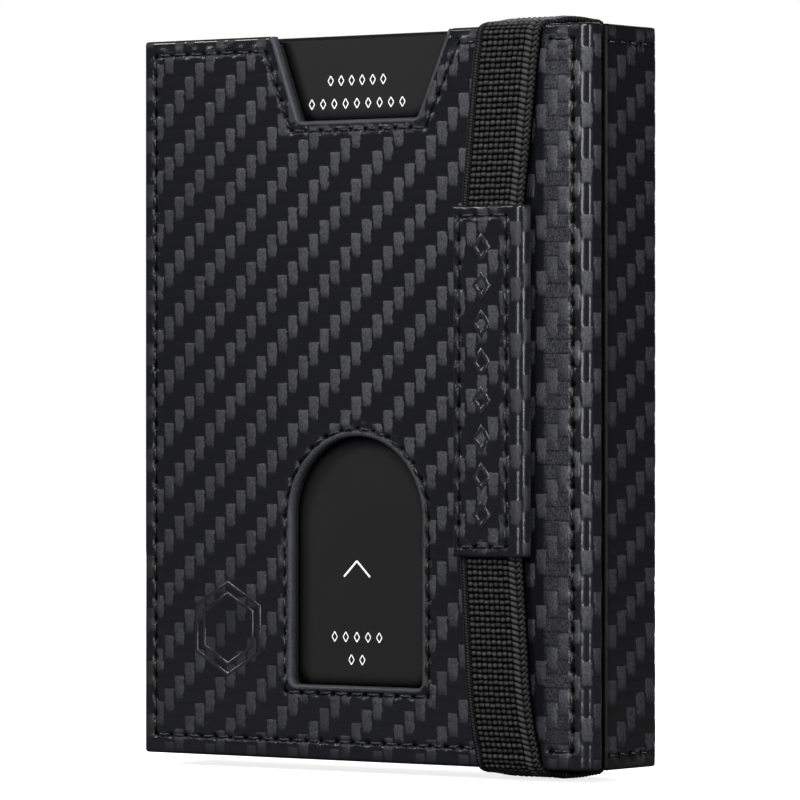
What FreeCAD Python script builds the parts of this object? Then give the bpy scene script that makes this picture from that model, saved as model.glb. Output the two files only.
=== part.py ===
"""Minimalist wallet: a stiff book-style wallet with a front card pocket, a coin compartment and an elastic band.

Everything is drawn in a bench frame: X runs from the spine edge to the opening edge, Y is 0 at the back face
and negative towards the front, Z runs up from the bottom edge. save() then moves each piece so that the
origin is the centre of the flat back face.
"""
import FreeCAD, Part
import math
import os
from FreeCAD import Vector

# ---- driving dimensions, in millimetres ----
WIDTH = 73.0
HEIGHT = 96.0
DEPTH = 15.6
COVER_DEPTH = 3.2        # front cover, all its layers
SLIT = 0.8               # gap between the closed cover and the tray
LEATHER = 0.9
FOIL = 0.1
GLUE = 0.1               # room left between a sheet's end and the leather round it

FOLD_RADIUS = 0.45       # half the leather, so each fold turns about the middle of its thickness
FOLD_ROOM = 0.05         # running clearance at a fold

# front cover layers, from the front face inwards
COVER_BOARD = 0.8
POCKET_GAP = 0.9
POCKET_BACK = 0.3
COVER_LINING = 0.2
EDGE_RADIUS = 1.7        # the rounded opening edge of the front cover
TURN_IN = 6.0            # leather turned in behind the opening edge
TURN_IN_LEATHER = 0.6

# windows in the front cover
NOTCH_TOP_LEFT, NOTCH_TOP_RIGHT = 21.9, 50.8
NOTCH_LOW_LEFT, NOTCH_LOW_RIGHT = 26.1, 45.7
NOTCH_DEPTH = 11.5
NOTCH_ROUNDING = 0.6
ARCH_CENTRE = 35.7
ARCH_RADIUS = 10.8
ARCH_BOTTOM, ARCH_TOP = 9.85, 42.9
ARCH_CORNER = 0.8

# decoration pressed into the front leather: a plain six-sided outline
ORNAMENT_X, ORNAMENT_Z = 14.3, 17.0
ORNAMENT_RADIUS = 6.4
ORNAMENT_LINE = 0.5
ORNAMENT_DEPTH = 0.15

# insert card, the size of a bank card
CARD_WIDTH, CARD_HEIGHT, CARD_THICKNESS, CARD_CORNER = 54.0, 85.6, 0.76, 3.18
CARD_LEFT = 1.9            # just inside the spine-side seam, so that the card passes the band
CARD_BOTTOM = 9.7
CARD_ROOM = 0.1

# tray behind the cover
BACK_BOARD = 0.8
BACK_LINING = 0.35
CARD_BAY = 3.3
CARD_BAY_LEFT, CARD_BAY_RIGHT, CARD_BAY_FLOOR = 2.9, 57.1, 8.6
NOTE_DIVIDER = 0.2
NOTE_GAP = 0.65
BAY_DIVIDER = 0.5
TRAY_LEFT = 2.0
SIDE_BOARD = 0.75
BACK_EDGE_RADIUS = 0.6
COIN_LEFT, COIN_RIGHT, COIN_LOW, COIN_HIGH = 6.0, 56.0, 7.0, 89.0
COIN_CORNER = 2.0
COIN_DEPTH = 4.55

# coin flap and press stud
FLAP_LEATHER = 0.84
FLAP_HINGE_X = 3.4
FLAP_RIGHT, FLAP_MARGIN, FLAP_CORNER = 69.5, 3.0, 8.0
STRIP_LEATHER = 0.4
STUD_X = 62.0
STUD_RECESS_RADIUS, STUD_RECESS_DEPTH = 4.6, 1.8
STUD_CAP_RADIUS, STUD_CAP_HEIGHT = 5.0, 0.65
STUD_STEM_RADIUS = 2.2
STUD_SOCKET_RADIUS, STUD_SOCKET_BORE, STUD_SOCKET_HEIGHT = 4.0, 2.0, 0.9
STUD_POST_RADIUS, STUD_HEAD_RADIUS = 1.5, 1.8

# elastic band and pull tab
BAND = 1.25
BAND_LEFT, BAND_RIGHT = 55.95, 65.95
BAND_ROOM = 0.1          # gap between the band and the leather edges it crosses
BAND_TAIL = 9.3          # length sewn in behind the back leather
BACK_BEND, FRONT_BEND = 0.8, 0.3
BAND_BOW = 1.95          # how far the tab holds the band off the front face
TAB_LEATHER = 0.75
TAB_LEFT, TAB_RIGHT = 54.3, 65.5
TAB_BOTTOM, TAB_TOP = 27.4, 72.7
TAB_ROOM = 0.05

# stitches
STITCH_WIDTH, STITCH_HEIGHT = 0.5, 0.18
STITCH_SHARE = 0.72      # of the pitch that the thread shows
SEAM_PITCH, TAB_PITCH = 2.6, 2.95
BACK_SEAM_INSET = 2.2
NOTCH_SEAM_INSET, ARCH_SEAM_INSET = 1.25, 1.0
GROOVE_WIDTH = 0.8

# ---- levels worked out from them ----
FRONT = -DEPTH
COVER_LEATHER_BACK = FRONT + LEATHER
COVER_BOARD_BACK = COVER_LEATHER_BACK + COVER_BOARD
POCKET_GAP_BACK = COVER_BOARD_BACK + POCKET_GAP
POCKET_BACK_BACK = POCKET_GAP_BACK + POCKET_BACK
COVER_FOIL_BACK = POCKET_BACK_BACK + FOIL
COVER_INSIDE = FRONT + COVER_DEPTH
TRAY_FRONT = COVER_INSIDE + SLIT
BOARD_FRONT = -LEATHER - BACK_BOARD
FOIL_FRONT = BOARD_FRONT - FOIL
LINING_FRONT = FOIL_FRONT - BACK_LINING
CARD_BAY_FRONT = LINING_FRONT - CARD_BAY
DIVIDER_FRONT = CARD_BAY_FRONT - BAY_DIVIDER
COIN_FRONT = DIVIDER_FRONT - COIN_DEPTH
FLAP_BACK = COIN_FRONT - FOLD_ROOM
FLAP_FRONT = FLAP_BACK - FLAP_LEATHER
SIDE_BOARD_LEFT = WIDTH - LEATHER - FOLD_ROOM - SIDE_BOARD
TRAY_RIGHT = SIDE_BOARD_LEFT - FOLD_ROOM
TRAY_LOW, TRAY_HIGH = LEATHER + GLUE, HEIGHT - LEATHER - GLUE
COVER_LEFT = 1.45


# ---- plain shapes ----
def block(x0, x1, y0, y1, z0, z1):
    return Part.makeBox(x1 - x0, y1 - y0, z1 - z0, Vector(x0, y0, z0))


def line(a, b):
    return Part.LineSegment(a, b).toShape()


def arc(a, through, b):
    return Part.Arc(a, through, b).toShape()


def solid_from(edges, direction):
    return Part.Face(Part.Wire(edges)).extrude(direction)


def upright_prism(corners, y0, y1):
    """Polygon given by (x, z) corners, from y0 to y1."""
    points = [Vector(x, y0, z) for x, z in corners]
    return Part.Face(Part.makePolygon(points + points[:1])).extrude(Vector(0, y1 - y0, 0))


def soft_sheet(x0, x1, y0, y1, z0, z1, radius):
    """Upright sheet in the XZ plane whose four corners are rounded."""
    sheet = block(x0, x1, y0, y1, z0, z1)
    corners = [e for e in sheet.Edges if abs(e.tangentAt(e.FirstParameter).y) > 0.99]
    return sheet.makeFillet(radius, corners)


def disc(x, z, radius, y0, y1):
    return Part.makeCylinder(radius, y1 - y0, Vector(x, y0, z), Vector(0, 1, 0))


def fold_cylinder(x, y, radius, z0=0.0, z1=HEIGHT):
    return Part.makeCylinder(radius, z1 - z0, Vector(x, y, z0))


def save(name, shape):
    moved = shape.copy()
    moved.translate(Vector(-WIDTH / 2, 0, -HEIGHT / 2))
    moved.exportStep(f"parts/{name}.step")


# ---- stitches: each is a low arched thread lying on a surface ----
def stitch(place, start, heading, length):
    """place maps (u, v, height) on a surface to a point, start and heading are (u, v)."""
    u, v = start
    du, dv = heading
    side_u, side_v = -dv * STITCH_WIDTH / 2, du * STITCH_WIDTH / 2
    left = place(u + side_u, v + side_v, 0)
    right = place(u - side_u, v - side_v, 0)
    top = place(u, v, STITCH_HEIGHT)
    run = place(u + du * length, v + dv * length, 0) - place(u, v, 0)
    return solid_from([arc(left, top, right), line(right, left)], run)


def seam(path, place, pitch):
    """Stitches at even pitch along a polyline of (u, v) points."""
    stitches = []
    for (u0, v0), (u1, v1) in zip(path, path[1:]):
        run = math.hypot(u1 - u0, v1 - v0)
        count = max(1, round(run / pitch))
        heading = (u1 - u0) / run, (v1 - v0) / run
        step = run / count
        for i in range(count):
            along = (i + (1 - STITCH_SHARE) / 2) * step
            start = u0 + heading[0] * along, v0 + heading[1] * along
            stitches.append(stitch(place, start, heading, step * STITCH_SHARE))
    return stitches


def on_front(u, v, height):
    return Vector(u, FRONT - height, v)


def on_back(u, v, height):
    """Stitches on the back lie in a groove, flush with the face that the wallet rests on."""
    return Vector(u, height - STITCH_HEIGHT, v)


def on_side(u, v, height):
    return Vector(WIDTH + height, u, v)


def on_flap(u, v, height):
    return Vector(u, FLAP_FRONT - height, v)


# ---- front cover ----
def arch_outline(grow):
    """(x, z) points and radius of the thumb window, grown by a margin."""
    radius = ARCH_RADIUS + grow
    return ARCH_CENTRE - radius, ARCH_CENTRE + radius, ARCH_BOTTOM - grow, ARCH_TOP - ARCH_RADIUS, radius


def arch_cutter():
    left, right, low, spring, radius = arch_outline(0)
    y0, y1 = FRONT - 1, COVER_BOARD_BACK
    body = block(left, right, y0, y1, low, spring + radius)
    low_corners = [e for e in body.Edges
                   if abs(e.tangentAt(e.FirstParameter).y) > 0.99 and e.CenterOfMass.z < low + 0.1]
    body = body.makeFillet(ARCH_CORNER, low_corners)
    crown = block(left, right, y0, y1, spring, spring + radius)
    return body.cut(crown).fuse(disc(ARCH_CENTRE, spring, radius, y0, y1)).removeSplitter()


def notch_corners(grow=0.0):
    """Trapezoid of the notch as (x, z), open at the top edge of the cover."""
    low = HEIGHT - NOTCH_DEPTH - grow
    return [(NOTCH_TOP_LEFT - grow, HEIGHT), (NOTCH_LOW_LEFT - grow, low),
            (NOTCH_LOW_RIGHT + grow, low), (NOTCH_TOP_RIGHT + grow, HEIGHT)]


def notch_cutter():
    cutter = upright_prism(notch_corners(), FRONT - 1, COVER_BOARD_BACK)
    low = HEIGHT - NOTCH_DEPTH
    corners = [e for e in cutter.Edges
               if abs(e.tangentAt(e.FirstParameter).y) > 0.99 and e.CenterOfMass.z < low + 0.1]
    return cutter.makeFillet(NOTCH_ROUNDING, corners)


def ornament_cutter():
    def hexagon(radius):
        turns = [math.radians(30 + 60 * i) for i in range(6)]
        corners = [(ORNAMENT_X + radius * math.cos(t), ORNAMENT_Z + radius * math.sin(t)) for t in turns]
        return upright_prism(corners, FRONT - 1, FRONT + ORNAMENT_DEPTH)
    return hexagon(ORNAMENT_RADIUS).cut(hexagon(ORNAMENT_RADIUS - ORNAMENT_LINE))


def front_leather():
    """Front sheet, rolled round the opening edge and turned in behind it."""
    outer_edge = WIDTH - EDGE_RADIUS
    inner_radius = EDGE_RADIUS - LEATHER
    diagonal = math.sqrt(0.5)
    roll_y = FRONT + EDGE_RADIUS
    left = FOLD_RADIUS * 2 + FOLD_ROOM
    inner_wall = WIDTH - LEATHER
    turn_front = COVER_INSIDE - TURN_IN_LEATHER
    turn_left = WIDTH - TURN_IN
    heel = FOLD_RADIUS

    def p(x, y):
        return Vector(x, y, 0)

    edges = [
        line(p(left, FRONT), p(outer_edge, FRONT)),
        arc(p(outer_edge, FRONT),
            p(outer_edge + EDGE_RADIUS * diagonal, roll_y - EDGE_RADIUS * diagonal), p(WIDTH, roll_y)),
        line(p(WIDTH, roll_y), p(WIDTH, COVER_INSIDE - heel)),
        arc(p(WIDTH, COVER_INSIDE - heel),
            p(WIDTH - heel * (1 - diagonal), COVER_INSIDE - heel * (1 - diagonal)),
            p(WIDTH - heel, COVER_INSIDE)),
        line(p(WIDTH - heel, COVER_INSIDE), p(turn_left, COVER_INSIDE)),
        line(p(turn_left, COVER_INSIDE), p(turn_left, turn_front)),
        line(p(turn_left, turn_front), p(inner_wall, turn_front)),
        line(p(inner_wall, turn_front), p(inner_wall, roll_y)),
        arc(p(inner_wall, roll_y),
            p(outer_edge + inner_radius * diagonal, roll_y - inner_radius * diagonal),
            p(outer_edge, COVER_LEATHER_BACK)),
        line(p(outer_edge, COVER_LEATHER_BACK), p(left, COVER_LEATHER_BACK)),
        line(p(left, COVER_LEATHER_BACK), p(left, FRONT)),
    ]
    leather = solid_from(edges, Vector(0, 0, HEIGHT))
    for cutter in (arch_cutter(), notch_cutter(), ornament_cutter()):
        leather = leather.cut(cutter)
    return leather


def front_board():
    right = WIDTH - EDGE_RADIUS - GLUE
    board = block(COVER_LEFT, right, COVER_LEATHER_BACK, COVER_BOARD_BACK, TRAY_LOW, TRAY_HIGH)
    return board.cut(arch_cutter()).cut(notch_cutter())


def pocket_spacer():
    """U-shaped spacer that the card slides down into."""
    right = WIDTH - LEATHER - GLUE
    spacer = block(COVER_LEFT, right, COVER_BOARD_BACK, POCKET_GAP_BACK, TRAY_LOW, TRAY_HIGH)
    slot = block(CARD_LEFT - CARD_ROOM, CARD_LEFT + CARD_WIDTH + CARD_ROOM, COVER_BOARD_BACK, POCKET_GAP_BACK,
                 CARD_BOTTOM - CARD_ROOM, HEIGHT)
    return spacer.cut(slot)


def cover_sheet(y0, y1):
    return block(COVER_LEFT, WIDTH - TURN_IN - GLUE, y0, y1, TRAY_LOW, TRAY_HIGH)


def insert_card():
    middle = (COVER_BOARD_BACK + POCKET_GAP_BACK) / 2
    return soft_sheet(CARD_LEFT, CARD_LEFT + CARD_WIDTH, middle - CARD_THICKNESS / 2, middle + CARD_THICKNESS / 2,
                      CARD_BOTTOM, CARD_BOTTOM + CARD_HEIGHT, CARD_CORNER)


def front_perimeter_seam():
    left, low, high, right = 1.85, 2.5, HEIGHT - 1.95, BAND_LEFT - 0.6
    notch_left = NOTCH_TOP_LEFT - NOTCH_SEAM_INSET
    notch_right = NOTCH_TOP_RIGHT + NOTCH_SEAM_INSET
    upper_left = seam([(left, low), (left, high), (notch_left, high)], on_front, SEAM_PITCH)
    upper_right = seam([(notch_right, high), (right, high)], on_front, SEAM_PITCH)
    lower = seam([(left, low), (right, low)], on_front, SEAM_PITCH)
    return upper_left + upper_right + lower


def edge_seam():
    """The line of stitches beside the rounded opening edge, with its short returns to the band."""
    line_x, low, high = WIDTH - 2.6, 2.5, HEIGHT - 1.95
    path = [(BAND_RIGHT + 0.6, high), (line_x, high), (line_x, low), (BAND_RIGHT + 0.6, low)]
    return seam(path, on_front, SEAM_PITCH)


def notch_seam():
    return seam([(x, min(z, HEIGHT - 2.4)) for x, z in notch_corners(NOTCH_SEAM_INSET)], on_front, 2.35)


def arch_seam():
    left, right, low, spring, radius = arch_outline(ARCH_SEAM_INSET)
    turns = [math.pi * i / 14 for i in range(15)]
    crown = [(ARCH_CENTRE + radius * math.cos(t), spring + radius * math.sin(t)) for t in turns]
    return seam([(left, low), (right, low)] + crown + [(left, low)], on_front, SEAM_PITCH)


# ---- spine ----
def spine_leather():
    """Sheet whose two rounded ends are the fold lines."""
    sheet = block(0, 2 * FOLD_RADIUS, FRONT + FOLD_RADIUS, -FOLD_RADIUS, 0, HEIGHT)
    ends = [fold_cylinder(FOLD_RADIUS, y, FOLD_RADIUS) for y in (FRONT + FOLD_RADIUS, -FOLD_RADIUS)]
    return sheet.fuse(ends[0]).fuse(ends[1]).removeSplitter()


def spine_lining():
    return block(0.95, 1.35, FRONT + 1.3, -1.4, TRAY_LOW, TRAY_HIGH)


# ---- tray behind the cover ----
def back_cover():
    """Back sheet and the side wall of the opening edge, in one turned piece of leather."""
    left = 2 * FOLD_RADIUS + FOLD_ROOM
    lip = LEATHER / 2
    back = block(left, WIDTH, -LEATHER, 0, 0, HEIGHT)
    wall = block(WIDTH - LEATHER, WIDTH, TRAY_FRONT + lip, 0, 0, HEIGHT)
    turned = back.fuse(wall).removeSplitter()
    corner = [e for e in turned.Edges
              if abs(e.CenterOfMass.x - WIDTH) < 0.01 and abs(e.CenterOfMass.y) < 0.01]
    turned = turned.makeFillet(BACK_EDGE_RADIUS, corner)
    turned = turned.fuse(fold_cylinder(WIDTH - lip, TRAY_FRONT + lip, lip)).removeSplitter()
    return turned.cut(seam_groove())


def seam_groove():
    """Shallow groove round the back face that its stitches lie in."""
    def frame(inset):
        return block(inset, WIDTH - inset, -STITCH_HEIGHT, 1, inset, HEIGHT - inset)
    return frame(BACK_SEAM_INSET - GROOVE_WIDTH / 2).cut(frame(BACK_SEAM_INSET + GROOVE_WIDTH / 2))


def band_recesses(sheet, room=0.2):
    """Room for the sewn-in band ends in a sheet behind the back leather."""
    tail = BAND_TAIL + room + LEATHER
    for z0, z1 in ((HEIGHT - tail, HEIGHT), (0, tail)):
        sheet = sheet.cut(block(BAND_LEFT - room, BAND_RIGHT + room, LINING_FRONT, 0, z0, z1))
    return sheet


def back_board():
    return band_recesses(block(TRAY_LEFT, TRAY_RIGHT, BOARD_FRONT, -LEATHER, TRAY_LOW, TRAY_HIGH))


def back_foil():
    return block(CARD_BAY_LEFT, BAND_LEFT - 1, FOIL_FRONT, BOARD_FRONT, TRAY_LOW + 1, TRAY_HIGH - 1)


def back_lining():
    return band_recesses(block(TRAY_LEFT, TRAY_RIGHT, LINING_FRONT, FOIL_FRONT, TRAY_LOW, TRAY_HIGH))


def card_bay_frame():
    frame = block(TRAY_LEFT, TRAY_RIGHT, CARD_BAY_FRONT, LINING_FRONT, TRAY_LOW, TRAY_HIGH)
    bay = block(CARD_BAY_LEFT, CARD_BAY_RIGHT, CARD_BAY_FRONT, LINING_FRONT, CARD_BAY_FLOOR, HEIGHT)
    return frame.cut(bay)


def note_divider():
    back = LINING_FRONT - NOTE_GAP
    return block(CARD_BAY_LEFT + GLUE, CARD_BAY_RIGHT - GLUE, back - NOTE_DIVIDER, back,
                 CARD_BAY_FLOOR + GLUE, TRAY_HIGH - 4)


def bay_divider():
    return block(TRAY_LEFT, TRAY_RIGHT, DIVIDER_FRONT, CARD_BAY_FRONT, TRAY_LOW, TRAY_HIGH)


def coin_frame():
    frame = block(TRAY_LEFT, TRAY_RIGHT, COIN_FRONT, DIVIDER_FRONT, TRAY_LOW, TRAY_HIGH)
    window = soft_sheet(COIN_LEFT, COIN_RIGHT, COIN_FRONT, DIVIDER_FRONT, COIN_LOW, COIN_HIGH, COIN_CORNER)
    recess = disc(STUD_X, HEIGHT / 2, STUD_RECESS_RADIUS, COIN_FRONT, COIN_FRONT + STUD_RECESS_DEPTH)
    return frame.cut(window).cut(recess)


def side_board():
    return block(SIDE_BOARD_LEFT, SIDE_BOARD_LEFT + SIDE_BOARD, COIN_FRONT, -LEATHER - GLUE, TRAY_LOW, TRAY_HIGH)


def bottom_edge_strip():
    return block(TRAY_LEFT, WIDTH - LEATHER - GLUE, COIN_FRONT, -LEATHER - GLUE, 0, LEATHER).cut(
        block(BAND_LEFT - 0.3, BAND_RIGHT + 0.3, -3.4, 0, 0, LEATHER))


def top_edge_strip():
    """Leaves the card bay open behind it."""
    return block(TRAY_LEFT, WIDTH - LEATHER - GLUE, COIN_FRONT, CARD_BAY_FRONT - GLUE, HEIGHT - LEATHER, HEIGHT)


def back_seam():
    left, right = BACK_SEAM_INSET, WIDTH - BACK_SEAM_INSET
    low, high = BACK_SEAM_INSET, HEIGHT - BACK_SEAM_INSET
    path = [(left, low), (left, high), (right, high), (right, low), (left, low)]
    return seam(path, on_back, SEAM_PITCH)


def side_seams():
    near, far = TRAY_FRONT + 0.8, -1.0
    return seam([(near, 1.9), (far, 1.9)], on_side, SEAM_PITCH) + seam(
        [(near, HEIGHT - 2.3), (far, HEIGHT - 2.3)], on_side, SEAM_PITCH)


# ---- coin flap and its press stud ----
def coin_flap():
    low, high = FLAP_MARGIN, HEIGHT - FLAP_MARGIN
    middle = (FLAP_FRONT + FLAP_BACK) / 2
    radius = FLAP_LEATHER / 2
    sheet = block(FLAP_HINGE_X, FLAP_RIGHT, FLAP_FRONT, FLAP_BACK, low, high)
    corners = [e for e in sheet.Edges
               if abs(e.tangentAt(e.FirstParameter).y) > 0.99 and e.CenterOfMass.x > FLAP_RIGHT - 0.1]
    sheet = sheet.makeFillet(FLAP_CORNER, corners)
    sheet = sheet.fuse(fold_cylinder(FLAP_HINGE_X, middle, radius, low, high)).removeSplitter()
    return sheet.cut(disc(STUD_X, HEIGHT / 2, STUD_STEM_RADIUS + FOLD_ROOM, FLAP_FRONT, FLAP_BACK))


def flap_strip():
    """Thinned leather strip that sews the flap to the coin frame."""
    right = FLAP_HINGE_X - FLAP_LEATHER / 2 - 2 * FOLD_ROOM
    return block(TRAY_LEFT, right, FLAP_BACK - STRIP_LEATHER, COIN_FRONT, FLAP_MARGIN, HEIGHT - FLAP_MARGIN)


def stud_cap():
    """Low dome outside the flap, with a stem through it."""
    sphere_radius = (STUD_CAP_RADIUS ** 2 + STUD_CAP_HEIGHT ** 2) / (2 * STUD_CAP_HEIGHT)
    ball = Part.makeSphere(sphere_radius, Vector(STUD_X, FLAP_FRONT - STUD_CAP_HEIGHT + sphere_radius, HEIGHT / 2))
    dome = ball.common(disc(STUD_X, HEIGHT / 2, STUD_CAP_RADIUS, FLAP_FRONT - STUD_CAP_HEIGHT, FLAP_FRONT))
    stem = disc(STUD_X, HEIGHT / 2, STUD_STEM_RADIUS, FLAP_FRONT, FLAP_BACK - FOLD_ROOM)
    return dome.fuse(stem).removeSplitter()


def stud_socket():
    back = FLAP_BACK + STUD_SOCKET_HEIGHT
    ring = disc(STUD_X, HEIGHT / 2, STUD_SOCKET_RADIUS, FLAP_BACK, back)
    return ring.cut(disc(STUD_X, HEIGHT / 2, STUD_SOCKET_BORE, FLAP_BACK, back))


def stud_post():
    """Flange fixed in the recess, with a post whose head the socket snaps over."""
    floor = COIN_FRONT + STUD_RECESS_DEPTH
    flange = disc(STUD_X, HEIGHT / 2, STUD_SOCKET_RADIUS, floor - 0.4, floor)
    post = disc(STUD_X, HEIGHT / 2, STUD_POST_RADIUS, COIN_FRONT + 0.1, floor)
    head = disc(STUD_X, HEIGHT / 2, STUD_HEAD_RADIUS, COIN_FRONT + 0.1, COIN_FRONT + 0.5)
    return flange.fuse(post).fuse(head).removeSplitter()


def flap_seam():
    low, high, inset = FLAP_MARGIN + 1.8, HEIGHT - FLAP_MARGIN - 1.8, 1.8
    right, corner = FLAP_RIGHT - inset, FLAP_CORNER - inset
    quarter = [math.pi / 2 * i / 4 for i in range(5)]
    lower = [(right - corner + corner * math.sin(t), low + corner - corner * math.cos(t)) for t in quarter]
    upper = [(right - corner + corner * math.cos(t), high - corner + corner * math.sin(t)) for t in quarter]
    path = [(FLAP_HINGE_X + 2, low)] + lower + upper + [(FLAP_HINGE_X + 2, high)]
    return seam(path, on_flap, SEAM_PITCH)


# ---- elastic band and pull tab ----
def quarter_ring(y, z, inner, side):
    """Quarter of a band bend about (y, z), above it, towards the back (side 1) or the front (side -1)."""
    start = Vector(BAND_LEFT, y, z)
    run = Vector(1, 0, 0)
    ring = Part.makeCylinder(inner + BAND, BAND_RIGHT - BAND_LEFT, start, run)
    ring = ring.cut(Part.makeCylinder(inner, BAND_RIGHT - BAND_LEFT, start, run))
    reach = inner + BAND
    y0, y1 = (y, y + reach) if side > 0 else (y - reach, y)
    return ring.common(block(BAND_LEFT, BAND_RIGHT, y0, y1, z, z + reach))


def band_section(z, bow, shift, narrowing):
    """Wire of the band's cross-section in front of the cover."""
    back = FRONT - BAND_ROOM - bow
    left, right = BAND_LEFT + shift + narrowing / 2, BAND_RIGHT + shift - narrowing / 2
    corners = [Vector(left, back, z), Vector(right, back, z), Vector(right, back - BAND, z),
               Vector(left, back - BAND, z)]
    return Part.makePolygon(corners + corners[:1])


def band_over_edge():
    """Sewn-in end, bend at the back, run over the top edge and bend at the front."""
    tail_y = -LEATHER
    back_y = tail_y - BAND - BACK_BEND
    back_z = HEIGHT + BAND_ROOM - BACK_BEND
    front_y = FRONT - BAND_ROOM + FRONT_BEND
    front_z = HEIGHT + BAND_ROOM - FRONT_BEND
    tail = block(BAND_LEFT, BAND_RIGHT, tail_y - BAND, tail_y, HEIGHT - BAND_TAIL, back_z)
    over = block(BAND_LEFT, BAND_RIGHT, front_y, back_y, HEIGHT + BAND_ROOM, HEIGHT + BAND_ROOM + BAND)
    bends = quarter_ring(back_y, back_z, BACK_BEND, 1).fuse(quarter_ring(front_y, front_z, FRONT_BEND, -1))
    return tail.fuse(over).fuse(bends), front_z


def elastic_band():
    over_top, front_z = band_over_edge()
    under_bottom = over_top.mirror(Vector(0, 0, HEIGHT / 2), Vector(0, 0, 1))
    tab_middle = (TAB_LEFT + TAB_RIGHT - TAB_LEATHER) / 2 - (BAND_LEFT + BAND_RIGHT) / 2
    held = BAND_RIGHT - BAND_LEFT - (TAB_RIGHT - TAB_LEFT - 2 * TAB_LEATHER)
    bow = BAND_BOW - BAND_ROOM
    stations = [
        (front_z, 0.0, 0.0, 0.0),
        (84.0, 0.6 * bow, -0.5, 0.1),
        (76.0, 0.95 * bow, -0.9, 0.2),
        (TAB_TOP + 0.3, bow, tab_middle, held),
        (TAB_BOTTOM - 0.3, bow, tab_middle, held),
        (24.0, 0.97 * bow, -1.2, 0.2),
        (9.0, 0.65 * bow, -0.7, 0.2),
        (HEIGHT - front_z, 0.0, 0.0, 0.0),
    ]
    front = Part.makeLoft([band_section(*s) for s in stations], True, True)
    return over_top.fuse(front).fuse(under_bottom).removeSplitter()


def tab_levels():
    band_back = FRONT - BAND_BOW
    inner_back = band_back + TAB_ROOM + TAB_LEATHER
    outer_front = band_back - BAND - TAB_ROOM - TAB_LEATHER
    return inner_back, outer_front


def pull_tab():
    """Strip of leather folded round the band, open towards the spine."""
    inner_back, outer_front = tab_levels()
    outer_radius = (inner_back - outer_front) / 2
    inner_radius = outer_radius - TAB_LEATHER
    middle = (inner_back + outer_front) / 2
    fold_x = TAB_RIGHT - outer_radius
    band_edge = TAB_RIGHT - TAB_LEATHER + 0.05

    def sleeve(radius, left, right_limit):
        slab = block(left, fold_x, middle - radius, middle + radius, TAB_BOTTOM, TAB_TOP)
        nose = fold_cylinder(fold_x, middle, radius, TAB_BOTTOM, TAB_TOP)
        box = block(fold_x, right_limit, middle - radius, middle + radius, TAB_BOTTOM, TAB_TOP)
        return slab.fuse(nose.common(box))

    hollow = block(TAB_LEFT, band_edge, middle - inner_radius, middle + inner_radius, TAB_BOTTOM, TAB_TOP)
    return sleeve(outer_radius, TAB_LEFT, TAB_RIGHT).cut(hollow).removeSplitter()


def tab_seam():
    outer_front = tab_levels()[1]
    left, right = TAB_LEFT + 0.9, TAB_RIGHT - 2.8
    low, high = TAB_BOTTOM + 1.3, TAB_TOP - 1.3

    def on_tab(u, v, height):
        return Vector(u, outer_front - height, v)

    path = [(left, low), (left, high), (right, high), (right, low), (left, low)]
    return seam(path, on_tab, TAB_PITCH)


def main():
    os.makedirs("parts", exist_ok=True)
    pieces = {
        "front_leather": front_leather(),
        "front_board": front_board(),
        "pocket_spacer": pocket_spacer(),
        "pocket_back_sheet": cover_sheet(POCKET_GAP_BACK, POCKET_BACK_BACK),
        "cover_rfid_foil": cover_sheet(POCKET_BACK_BACK, COVER_FOIL_BACK),
        "cover_lining": cover_sheet(COVER_FOIL_BACK, COVER_INSIDE),
        "insert_card": insert_card(),
        "spine_leather": spine_leather(),
        "spine_lining": spine_lining(),
        "back_cover": back_cover(),
        "back_board": back_board(),
        "back_rfid_foil": back_foil(),
        "back_lining": back_lining(),
        "card_bay_frame": card_bay_frame(),
        "note_divider": note_divider(),
        "bay_divider": bay_divider(),
        "coin_frame": coin_frame(),
        "side_board": side_board(),
        "bottom_edge_strip": bottom_edge_strip(),
        "top_edge_strip": top_edge_strip(),
        "flap_strip": flap_strip(),
        "coin_flap_leather": coin_flap(),
        "stud_cap": stud_cap(),
        "stud_socket": stud_socket(),
        "stud_post": stud_post(),
        "elastic_band": elastic_band(),
        "pull_tab": pull_tab(),
    }
    seams = {
        "front_perimeter_stitching": front_perimeter_seam(),
        "edge_stitching": edge_seam(),
        "notch_stitching": notch_seam(),
        "arch_stitching": arch_seam(),
        "back_stitching": back_seam(),
        "side_stitching": side_seams(),
        "flap_stitching": flap_seam(),
        "tab_stitching": tab_seam(),
    }
    for name, shape in pieces.items():
        save(name, shape)
    for name, stitches in seams.items():
        save(name, Part.makeCompound(stitches))


main()
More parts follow.
